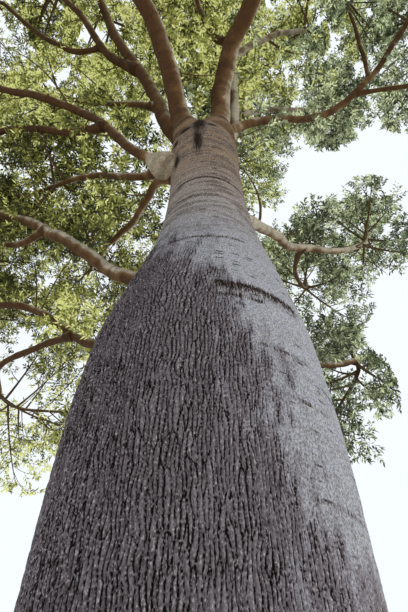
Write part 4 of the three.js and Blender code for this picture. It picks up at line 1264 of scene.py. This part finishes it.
def make_boughs(region, material, limbs, spaces):
    """The boughs of one part of the crown, joined: each a tube whose foot is inside what carries it
    and whose tip is closed. On the bake map they lie side by side, to one scale."""
    points, polygons, corners, values = [], [], [], {"paleness": [], "ring": [], "foot": []}
    first, left = 0, 0.0
    grids = [bough_grid(name, limbs, spaces) for name in REGIONS[region]]
    lengths = [len(grid) * LIMB_RING for grid, _ in grids]
    widths = [grid.shape[1] for grid, _ in grids]
    for (grid, shown), length in zip(grids, lengths):
        rows, sides = grid.shape[:2]
        share = sides / sum(widths)
        points.append(grid.reshape(-1, 3))
        quads = grid_quads(rows, sides, first)
        foot = first + np.arange(sides)[None, ::-1]
        tip = first + (rows - 1) * sides + np.arange(sides)[None]
        place = grid_map(rows, sides) * (MAP_SHARE * share, length / max(lengths)) + (left, 0)
        number = np.arange(sides)
        ends = CAP_MAP * np.stack([np.cos(number), 1 + np.sin(number)], -1) + (left + CAP_SHARE * share, 0)
        polygons.append((quads, foot, tip))
        corners.append((place, ends, ends))
        for key in values:
            values[key].append(shown[key].ravel())
        first += rows * sides
        left += share
    # Foot and tip caps differ in their number of corners, so they follow all the quads one by one.
    all_quads = np.concatenate([quads for quads, _, _ in polygons])
    caps = [cap for _, foot, tip in polygons for cap in (foot, tip)]
    places = [place for place, _, _ in corners] + [ends for _, one, two in corners for ends in (one, two)]
    new_piece(
        f"boughs_{region}", np.concatenate(points), [all_quads, *caps], [material],
        [f"bough_{name}" for name in REGIONS[region]],
        {key: np.concatenate(numbers) for key, numbers in values.items()}, np.concatenate(places),
    )


# Foliage


def plan_spaces(limbs):
    """The spaces of all masses as arrays, and each mass's stem: a quadratic curve from the limb's tip
    through the space, that leaves along the limb's heading."""
    masses = list(limbs.values())
    spaces = {key: np.array([mass[key] for mass in masses]) for key in ("centre", "half", "size")}
    spaces["spread"] = np.array([SPREADS.get(name, USUAL_SPREAD) for name in limbs])
    tips = np.array([mass["tip"] for mass in masses])
    headings = np.array([mass["heading"] for mass in masses])
    outward = unit(spaces["centre"] - tips)
    number = np.arange(len(masses))
    room = room_ahead(spaces, number, spaces["centre"], outward, spaces["size"])
    ends = spaces["centre"] + outward * (room - STEM_END)[:, None]
    bends = tips + headings * STEM_BEND * np.linalg.norm(ends - tips, axis=-1)[:, None]
    spaces["curves"] = (tips, bends, ends)
    spaces["stems"] = {}
    for i, name in enumerate(limbs):
        length = np.linalg.norm(bends[i] - tips[i]) + np.linalg.norm(ends[i] - bends[i])
        shares = np.linspace(0, 1, max(STEM_LEAST, round(STEM_SHORTER * length / LIMB_RING)))
        foot = masses[i]["tip_radius"]
        spaces["stems"][name] = {
            "path": bezier(tips[i], bends[i], ends[i], shares),
            "radii": foot + (STEM_TIP_RADIUS - foot) * shares**STEM_THINNING,
        }
    return spaces


def in_space(spaces, number, points):
    """Whether points lie in the space of the mass with that number: in its ellipsoid, whose half axes
    are cut to the room that the tree's box leaves, and on its own side of the flat face that it shares
    with each neighbour. Number -1 is for what grows on a limb and has the box alone."""
    low, high = np.array(CAD_BOX[0]) - BOX_SPREAD, np.array(CAD_BOX[1]) + BOX_SPREAD
    middle = spaces["centre"][number]
    away = points - middle
    room = np.where(away > 0, high - middle, middle - low)
    reach = np.minimum(spaces["half"][number] * spaces["spread"][number][..., None], room)
    inside = np.sum((away / reach) ** 2, -1) <= 1
    for other, (centre, size) in enumerate(zip(spaces["centre"], spaces["size"])):
        between = centre - spaces["centre"][number]
        distance = np.maximum(np.linalg.norm(between, axis=-1), TINY)
        face = (distance**2 + spaces["size"][number] ** 2 - size**2) / (2 * distance)
        near = np.sum(away * between, -1) / distance < face - SPACE_MARGIN
        inside &= near | (number == other)
    inside |= number < 0
    return inside & np.all((points > low) & (points < high), -1)


def room_ahead(spaces, number, start, along, wanted):
    """The longest straight run from each start that stays in its space, up to the length wanted,
    tried in even steps."""
    steps = (np.arange(ROOM_STEPS) + 1) / ROOM_STEPS
    tried = start[:, None] + along[:, None] * (wanted[:, None] * steps)[..., None]
    inside = in_space(spaces, number[:, None], tried)
    return wanted * np.cumprod(inside, 1).sum(1) / ROOM_STEPS


def timber_around(limbs):
    """Points along every limb and its radius there, for keeping twigs off the limbs."""
    paths = np.concatenate([limb["path"][::TIMBER_STEP] for limb in limbs.values()])
    radii = np.concatenate([limb["radii"][::TIMBER_STEP] for limb in limbs.values()])
    return paths, radii


def clear_of_timber(points, timber, margin):
    """Whether points are outside the trunk and every limb by a margin."""
    flat = points.reshape(-1, 3)
    clear = outside_trunk(flat) > margin
    paths, radii = timber
    for part in np.array_split(np.arange(len(flat)), max(1, len(flat) // TRIED_AT_ONCE)):
        away = np.linalg.norm(flat[part, None] - paths, axis=-1) - radii
        clear[part] &= away.min(1) > margin
    return clear.reshape(points.shape[:-1])


def branch_off(random, spaces, timber, carriers, count, kind, reaches):
    """Grows count side shoots of a kind on each carrier by the source's rule: they turn round it by
    the golden angle, lean out by its leans from one end to the other, and reach as far as their space
    lets them. A shoot is a quadratic curve that turns up towards the light. One that is cut too short
    or meets a limb is left out."""
    number, start, bend, end, foot = carriers
    places, leans, least = GROWTH[kind]
    total = len(number)
    step = np.tile(np.arange(count), total)
    of = np.repeat(np.arange(total), count)
    share = step / max(count - 1, 1)
    place = places[0] + (places[1] - places[0]) * share
    loose = random.uniform(-LOOSE_PLACE, LOOSE_PLACE, len(of))
    place = np.clip(place + loose * (places[1] - places[0]) / count, LEAST_PLACE, 1)
    at = curve_point(start[of], bend[of], end[of], place[:, None])
    along = bezier_heading(start[of], bend[of], end[of], place)
    turn = step * GOLDEN_ANGLE + np.repeat(random.uniform(0, 2 * np.pi, total), count)
    turn = turn + random.uniform(-LOOSE_TURN, LOOSE_TURN, len(of))
    side = turned(square_to(along), along, turn)
    heading = leaning(along, side, leans[0] + (leans[1] - leans[0]) * share)
    aim = unit(heading + LIFT * np.array([0.0, 0.0, 1.0]))
    wanted = reaches(of, place) * random.uniform(*TWIG_REACH, len(of))
    reach = room_ahead(spaces, number[of], at, aim, wanted)
    first = room_ahead(spaces, number[of], at, heading, TWIG_BEND * reach)
    new_end = at + aim * reach[:, None]
    new_bend = at + heading * first[:, None]
    checked = np.stack([new_end, 0.5 * (new_end + new_bend)], 1)
    kept = (reach > least * wanted) & clear_of_timber(checked, timber, TWIG_CLEARANCE).all(1)
    thin = foot[of] * (1 - TWIG_THINNING * place)
    return tuple(rows[kept] for rows in (number[of], at, new_bend, new_end, thin, of, place))


def twig_tubes(start, bend, end, foot, tip, pieces, sides):
    """Many thin tubes at once, along quadratic curves: rings of equal count, drawn to a point at the
    end and closed by one face at the foot. Returns the points and three arrays of faces."""
    shares = np.linspace(0, 1, pieces + 1)
    path = bezier(start, bend, end, shares)
    total = len(path)
    out = circle_round(path, square_to(unit(end - start))[:, None], sides)
    radius = foot[:, None] + (tip - foot[:, None]) * shares
    rings = path[:, :-1, None] + radius[:, :-1, None, None] * out[:, :-1]
    points = np.concatenate([rings.reshape(total, -1, 3), path[:, -1:]], 1)
    each = points.shape[1]
    base = (np.arange(total) * each)[:, None, None]
    quads = (base + grid_quads(pieces, sides)).reshape(-1, 4) if pieces > 1 else np.zeros((0, 4), int)
    last = (pieces - 1) * sides + np.arange(sides)
    fan = np.stack([last, np.roll(last, -1), np.full(sides, each - 1)], -1)
    caps = base[:, 0] + np.arange(sides)[::-1]
    return points.reshape(-1, 3), quads, (base + fan).reshape(-1, 3), caps.reshape(-1, sides)


def leaf_blades(random, start, bend, end, count, length, width):
    """Leaves along the twiglets: they turn round by the golden angle and stand out less towards the
    tip. Each is a narrow blade of four points, its root, its two widest points at 0.4 of its length,
    raised by a tenth of its width, and its tip, which hangs down. Its face turns up to the sky and
    aside at random. Returns the points as (twiglet, leaf, point, axis)."""
    total = len(start)
    share = np.linspace(*LEAF_PLACES, count)
    strays, turns = LEAF_LOOSE
    place = np.clip(share + random.uniform(-strays, strays, (total, count)), LEAF_FIRST, 1)
    curves = (start[:, None], bend[:, None], end[:, None])
    root = curve_point(*curves, place[..., None])
    along = bezier_heading(*curves, place)
    turn = np.arange(count) * GOLDEN_ANGLE + random.uniform(-turns, turns, (total, count))
    side = turned(square_to(along), along, turn)
    most, less, loose = LEAF_LEAN
    heading = leaning(along, side, most - less * share + random.uniform(-loose, loose, (total, count)))
    heading = unit(heading - np.array([0, 0, LEAF_DROOP]))
    sky = np.array([0, 0, 1.0]) + random.normal(0, LEAF_SCATTER, (total, count, 3))
    across = unit(np.cross(heading, sky))
    face = np.cross(across, heading)
    long = length * random.uniform(*LEAF_LENGTHS, (total, count, 1))
    wide = width * random.uniform(*LEAF_WIDTHS, (total, count, 1)) / 2
    sag = LEAF_SAG[0] * random.uniform(*LEAF_SAG[1:], (total, count, 1)) * long
    middle = root + heading * long * LEAF_WIDEST
    raised = face * (LEAF_RAISED * wide - LEAF_WIDEST**2 * sag)
    blade = [root, middle - across * wide + raised, middle + across * wide + raised]
    return np.stack([*blade, root + heading * long - face * sag], 2)


def grow_shoots(random, names, limbs):
    """Leafy shoots along limbs: quadratic curves that leave the limb at 50 to 75 degrees, turned round
    it by the golden angle and then folded over to its upper side and, beside and behind the trunk, to
    the far side, which gets the light. Those of SHOOT_SIDES are folded along X and to the far side."""
    starts, bends, ends, feet = [], [], [], []
    for name in names:
        if name not in SHOOTS:
            continue
        limb = limbs[name]
        length = len(limb["path"]) * LIMB_RING
        places = np.arange(*SHOOTS[name], SHOOT_GAP / length)
        at = (places * (len(limb["path"]) - 1)).astype(int)
        along = unit(np.gradient(limb["path"], axis=0))[at]
        turn = np.arange(len(at)) * GOLDEN_ANGLE + random.uniform(0, SHOOT_TURN)
        side = turned(square_to(along), along, turn)
        heading = leaning(along, side, random.uniform(*SHOOT_LEAN, len(at)))
        heading[:, 2] = np.abs(heading[:, 2])
        start = limb["path"][at]
        heading[:, 1] = np.where(start[:, 1] > FAR_SIDE_FROM, np.abs(heading[:, 1]), heading[:, 1])
        if name in SHOOT_SIDES:
            heading[:, 0] = SHOOT_SIDES[name] * np.abs(heading[:, 0])
            heading[:, 1] = np.abs(heading[:, 1])
        aim = unit(heading + (0, 0, SHOOT_LIFT))
        reach = random.uniform(*SHOOT_LENGTH, len(at))[:, None]
        starts.append(start)
        bends.append(start + TWIG_BEND * reach * heading)
        ends.append(start + reach * aim)
        feet.append(np.full(len(at), SHOOT_FOOT))
    number = np.full(sum(map(len, feet)), -1)
    return number, *(np.concatenate(rows) for rows in (starts, bends, ends, feet))


def thin_branches(names, limbs):
    """The bare thin branches on the named limbs: quadratic curves whose two halves have the given
    headings and lengths."""
    rows = [row for row in THIN_BRANCHES if row[0] in names]
    starts = [limbs[name]["path"][int(at * (len(limbs[name]["path"]) - 1))] for name, at, *_ in rows]
    start = np.array(starts, float).reshape(-1, 3)
    halves = np.zeros((2, len(rows), 3))
    for k in range(2):
        bearings, climbs, lengths = ([row[part][k] for row in rows] for part in (2, 3, 4))
        halves[k] = heading_vectors(bearings, climbs) * np.array(lengths)[:, None]
    foot = np.array([row[5] for row in rows]) / TUBES[0][0]
    return np.full(len(rows), -1), start, start + halves[0], start + halves[0] + halves[1], foot


def grow_foliage(region, numbers, materials, limbs, spaces, timber):
    """The twigs and leaves of one part of the crown: branches on each stem, sprigs on the branches
    and sprays on the sprigs. Leaves that would leave their mass's space are left out."""
    settings = bpy.context.scene.bottle_foliage
    random = np.random.default_rng(SEED + sum(numbers))
    numbers = np.array(numbers)
    tips, bends, ends = (curve[numbers] for curve in spaces["curves"])
    names = list(limbs)
    tip_radius = np.array([limbs[names[number]]["tip_radius"] for number in numbers])
    size = spaces["size"][numbers]
    stems = (numbers, tips, bends, ends, tip_radius)
    branches = branch_off(
        random, spaces, timber, stems, settings.branches, "branch", lambda of, place: size[of]
    )
    branch_reach = np.linalg.norm(branches[3] - branches[1], axis=-1)
    part, factor, fall = SPRIG_LENGTH
    sprigs = branch_off(
        random, spaces, timber, branches[:5], settings.sprigs, "sprig",
        lambda of, place: part * branch_reach[of] * (factor - fall * place),
    )
    sprig_reach = np.linalg.norm(sprigs[3] - sprigs[1], axis=-1)
    sprays = branch_off(
        random, spaces, timber, sprigs[:5], settings.sprays, "spray",
        lambda of, place: np.clip(SPRAY_LENGTH[0] * sprig_reach[of], *SPRAY_LENGTH[1:]),
    )
    shoots = grow_shoots(random, [names[number] for number in numbers], limbs)
    more_sprigs = branch_off(
        random, spaces, timber, shoots, SHOOT_COUNTS[0], "sprig of a shoot",
        lambda of, place: np.full(len(of), SHOOT_REACHES[0]),
    )
    more_sprays = branch_off(
        random, spaces, timber, more_sprigs[:5], SHOOT_COUNTS[1], "spray",
        lambda of, place: np.full(len(of), SHOOT_REACHES[1]),
    )
    share = np.array([OPEN_MASSES.get(name, 1) for name in names])
    shown = random.random(len(sprays[0])) < share[sprays[0]]
    sprays = [rows[shown] for rows in sprays]
    thin = thin_branches([names[number] for number in numbers], limbs)
    branches = [np.concatenate(rows) for rows in zip(branches, shoots, thin)]
    sprigs = [np.concatenate(rows) for rows in zip(sprigs, more_sprigs)]
    sprays = [np.concatenate(rows) for rows in zip(sprays, more_sprays)]
    points, quads, fans, caps, first = [], [], [], [], 0
    for twigs, (part, least, most, tip, pieces, sides) in zip((branches, sprigs, sprays), TUBES):
        foot = np.clip(part * twigs[4], least, most)
        some, *faces = twig_tubes(*twigs[1:4], foot, tip, pieces, sides)
        points.append(some)
        for rows, face in zip((quads, fans, caps), faces):
            rows.append(face + first)
        first += len(some)
    nodes = [f"foliage_{names[number]}" for number in numbers]
    new_piece(
        f"twigs_{region}", np.concatenate(points),
        [np.concatenate(quads), np.concatenate(fans), *caps], [materials["twig"]], nodes,
    )
    number, start, bend, end = sprays[:4]
    sizes = (settings.leaves, settings.leaf_length, settings.leaf_width)
    blades = leaf_blades(random, start, bend, end, *sizes)
    middle = 0.5 * (start + end)
    kept = in_space(spaces, number[:, None], blades[:, :, -1])
    kept &= clear_of_timber(middle, timber, LEAF_CLEARANCE)[:, None]
    tone = spray_tone(random, spaces, number, middle, settings.leaves)[kept]
    blades = blades[kept]
    faces = (np.arange(len(blades)) * 4)[:, None, None] + LEAF_FACES
    new_piece(
        f"leaves_{region}", blades.reshape(-1, 3), [faces.reshape(-1, 3)], materials["leaves"],
        nodes, faces=np.repeat(tone, len(LEAF_FACES)),
    )


def spray_tone(random, spaces, number, middle, count):
    """Which green each leaf of a spray has, of four tones from painted shade to painted light. The spray's
    own tone is random, and brighter by painted light near the outside of its mass, high up, and low on
    the left, where light comes through. Its green is greyer on the tree's right than on its left and at
    its top, and there darker high up. A leaf is up to one step lighter or darker than its spray."""
    x, z = middle[:, 0], middle[:, 2]
    away = (middle - spaces["centre"][number]) / spaces["half"][number]
    out = np.where(number < 0, SHOOTS_OUT, np.linalg.norm(away, axis=-1))
    patch = soft_noise(LEAF_SEEDS["tone"], *(middle / TONE_PATCH).T)
    tone = TONE["middle"] + TONE["patches"] * patch + TONE["outside"] * (out - OUTSIDE_FROM)
    tone = tone + random.uniform(-TONE["spray"], TONE["spray"], len(number))
    high = TONE["high"] * smooth_step(*HIGH_LIGHT, z)
    tone += high + TONE["low left"] * smooth_step(*LOW_LIGHT, z) * (x < 0)
    patch = soft_noise(LEAF_SEEDS["grey"], *(middle / GREY_PATCH).T)
    top, lean, line, loose = GREY_LINE
    grey = x - lean * np.maximum(z - top, 0) + patch + random.uniform(-loose, loose, len(number)) > line
    tone += (TONE["grey"] + TONE["high grey"] * smooth_step(*GREY_DARKENS, z)) * grey
    tone = tone[:, None] + random.uniform(-TONE["leaf"], TONE["leaf"], (len(number), count))
    return np.clip(tone * 4, 0, 3).astype(int) + 4 * grey[:, None]


# Add-on


class BottleBark(bpy.types.PropertyGroup):
    """Sizes and colours of the bark."""

    fissure_depth: FloatProperty(
        name="Fissure depth", description="How deep the belly's fissures are", default=0.012,
        min=0, unit="LENGTH",
    )
    fissure_width: FloatProperty(
        name="Fissure width", description="Half the width of a fissure at the plates' faces",
        default=0.0036, min=0, unit="LENGTH",
    )


for key, (label, note, colour) in BARK_COLOURS.items():
    BottleBark.__annotations__[key] = FloatVectorProperty(
        name=label, description=note, subtype="COLOR", default=linear(colour), min=0, max=1
    )


class BottleFoliage(bpy.types.PropertyGroup):
    """Counts and sizes of the foliage."""

    branches: IntProperty(name="Branches", description="Branches on a mass's stem", default=15, min=1)
    sprigs: IntProperty(name="Sprigs", description="Sprigs on a branch", default=11, min=1)
    sprays: IntProperty(name="Sprays", description="Sprays of leaves on a sprig", default=8, min=1)
    leaves: IntProperty(name="Leaves", description="Leaves in a spray", default=12, min=1)
    leaf_length: FloatProperty(
        name="Leaf length", description="Length of a full leaf", default=0.08, min=0, unit="LENGTH"
    )
    leaf_width: FloatProperty(
        name="Leaf width", description="Width of a full leaf", default=0.028, min=0, unit="LENGTH"
    )


class BottleStage(bpy.types.PropertyGroup):
    """Light, floor and camera."""

    sky: FloatVectorProperty(
        name="Sky", description="Even light from all round", subtype="COLOR",
        default=linear("f4faff"), min=0, max=1,
    )
    sky_strength: FloatProperty(name="Sky strength", description="Strength of that light", default=1.05)
    floor_colour: FloatVectorProperty(
        name="Floor", description="Colour of the floor", subtype="COLOR",
        default=linear("e9e4dc"), min=0, max=1,
    )
    lens: FloatProperty(
        name="Lens", description="Focal length on a sensor 36 mm high", default=26.47, unit="CAMERA"
    )
    eye_height: FloatProperty(name="Eye height", description="Camera's height", default=1.5, unit="LENGTH")
    eye_distance: FloatProperty(
        name="Eye distance", description="Camera's distance from the trunk's middle", default=2.7,
        unit="LENGTH",
    )
    eye_tilt: FloatProperty(
        name="Eye tilt", description="How far the camera looks up", default=math.radians(45),
        subtype="ANGLE",
    )


class OBJECT_OT_bottle_trunk(bpy.types.Operator):
    """Make the trunk's bark."""

    bl_idname = "object.bottle_trunk"
    bl_label = "Trunk"

    def execute(self, context):
        make_trunk(trunk_bark_material(context.scene.bottle_bark))
        return {"FINISHED"}


class OBJECT_OT_bottle_boughs(bpy.types.Operator):
    """Make the boughs."""

    bl_idname = "object.bottle_boughs"
    bl_label = "Boughs"

    def execute(self, context):
        material = bough_bark_material(context.scene.bottle_bark)
        limbs = grow_limbs()
        spaces = plan_spaces(limbs)
        for region in REGIONS:
            make_boughs(region, material, limbs, spaces)
        return {"FINISHED"}


class OBJECT_OT_bottle_foliage(bpy.types.Operator):
    """Make the twigs and leaves."""

    bl_idname = "object.bottle_foliage"
    bl_label = "Foliage"

    def execute(self, context):
        limbs = grow_limbs()
        spaces = plan_spaces(limbs)
        timber = timber_around(limbs)
        names = list(limbs)
        # Thin waxy leaves, smooth enough to catch a little sky. The glow is painted light: it stands for
        # light that comes through them.
        leaves = [
            plain_material(name, linear(colour), 0.55, 0.35, glow) for name, colour, glow in LEAF_GREENS
        ]
        # Young twigs: smooth green-brown skin, dull.
        materials = {"twig": plain_material("twig bark", linear(TWIG_COLOUR), 0.85), "leaves": leaves}
        for region, members in REGIONS.items():
            numbers = [names.index(name) for name in members]
            grow_foliage(region, numbers, materials, limbs, spaces, timber)
        return {"FINISHED"}


class OBJECT_OT_bottle_stage(bpy.types.Operator):
    """Make the floor, the light and the camera."""

    bl_idname = "object.bottle_stage"
    bl_label = "Stage"

    def execute(self, context):
        settings = context.scene.bottle_stage
        scene = context.scene
        scene.view_settings.view_transform = "Standard"
        world = bpy.data.worlds.new("pale sky")
        world.use_nodes = True
        background = world.node_tree.nodes["Background"]
        background.inputs["Color"].default_value = rgba(settings.sky)
        background.inputs["Strength"].default_value = settings.sky_strength
        scene.world = world
        turn = np.linspace(0, 2 * np.pi, FLOOR_SIDES, endpoint=False)
        rim = FLOOR_RADIUS * np.stack([np.cos(turn), np.sin(turn), 0 * turn], -1)
        mesh = bpy.data.meshes.new("floor")
        mesh.from_pydata(rim.tolist(), [], [list(range(FLOOR_SIDES))])
        # Matt painted screed.
        mesh.materials.append(plain_material("pale matt floor", settings.floor_colour, 0.9, 0.1))
        floor = bpy.data.objects.new("floor", mesh)
        scene.collection.objects.link(floor)
        sun = bpy.data.lights.new("key light", "SUN")
        sun.energy = SUN_STRENGTH
        sun.angle = math.radians(SUN_SPREAD)
        sun.color = linear(SUN_COLOUR)
        key = bpy.data.objects.new("key light", sun)
        key.rotation_euler = [math.radians(angle) for angle in SUN_TURN]
        scene.collection.objects.link(key)
        camera = bpy.data.cameras.new("camera")
        camera.lens = settings.lens
        camera.sensor_width = SENSOR
        camera.clip_end = CLIP_END
        view = bpy.data.objects.new("camera", camera)
        view.location = (0, -settings.eye_distance, settings.eye_height)
        view.rotation_euler = (math.radians(90) + settings.eye_tilt, 0, 0)
        scene.collection.objects.link(view)
        scene.camera = view
        return {"FINISHED"}


class VIEW3D_PT_bottle_tree(bpy.types.Panel):
    """Lists the tree's settings and the steps that make it."""

    bl_label = "Bottle tree"
    bl_space_type = "VIEW_3D"
    bl_region_type = "UI"
    bl_category = "Bottle tree"

    def draw(self, context):
        for step in STEPS:
            self.layout.operator(step.bl_idname)
        for group in GROUPS:
            settings = getattr(context.scene, group)
            for key in settings.__annotations__:
                self.layout.prop(settings, key)


GROUPS = {"bottle_bark": BottleBark, "bottle_foliage": BottleFoliage, "bottle_stage": BottleStage}
STEPS = (
    OBJECT_OT_bottle_stage,
    OBJECT_OT_bottle_trunk,
    OBJECT_OT_bottle_boughs,
    OBJECT_OT_bottle_foliage,
)


def register():
    """Registers the classes and gives the scene its settings."""
    for name, group in GROUPS.items():
        bpy.utils.register_class(group)
        setattr(bpy.types.Scene, name, PointerProperty(type=group))
    for step in STEPS:
        bpy.utils.register_class(step)
    bpy.utils.register_class(VIEW3D_PT_bottle_tree)


def unregister():
    """Takes away what register added."""
    bpy.utils.unregister_class(VIEW3D_PT_bottle_tree)
    for step in reversed(STEPS):
        bpy.utils.unregister_class(step)
    for name, group in GROUPS.items():
        delattr(bpy.types.Scene, name)
        bpy.utils.unregister_class(group)


def main():
    register()
    for step in STEPS:
        space, operator = step.bl_idname.split(".")
        getattr(getattr(bpy.ops, space), operator)()


if __name__ == "__main__":
    main()
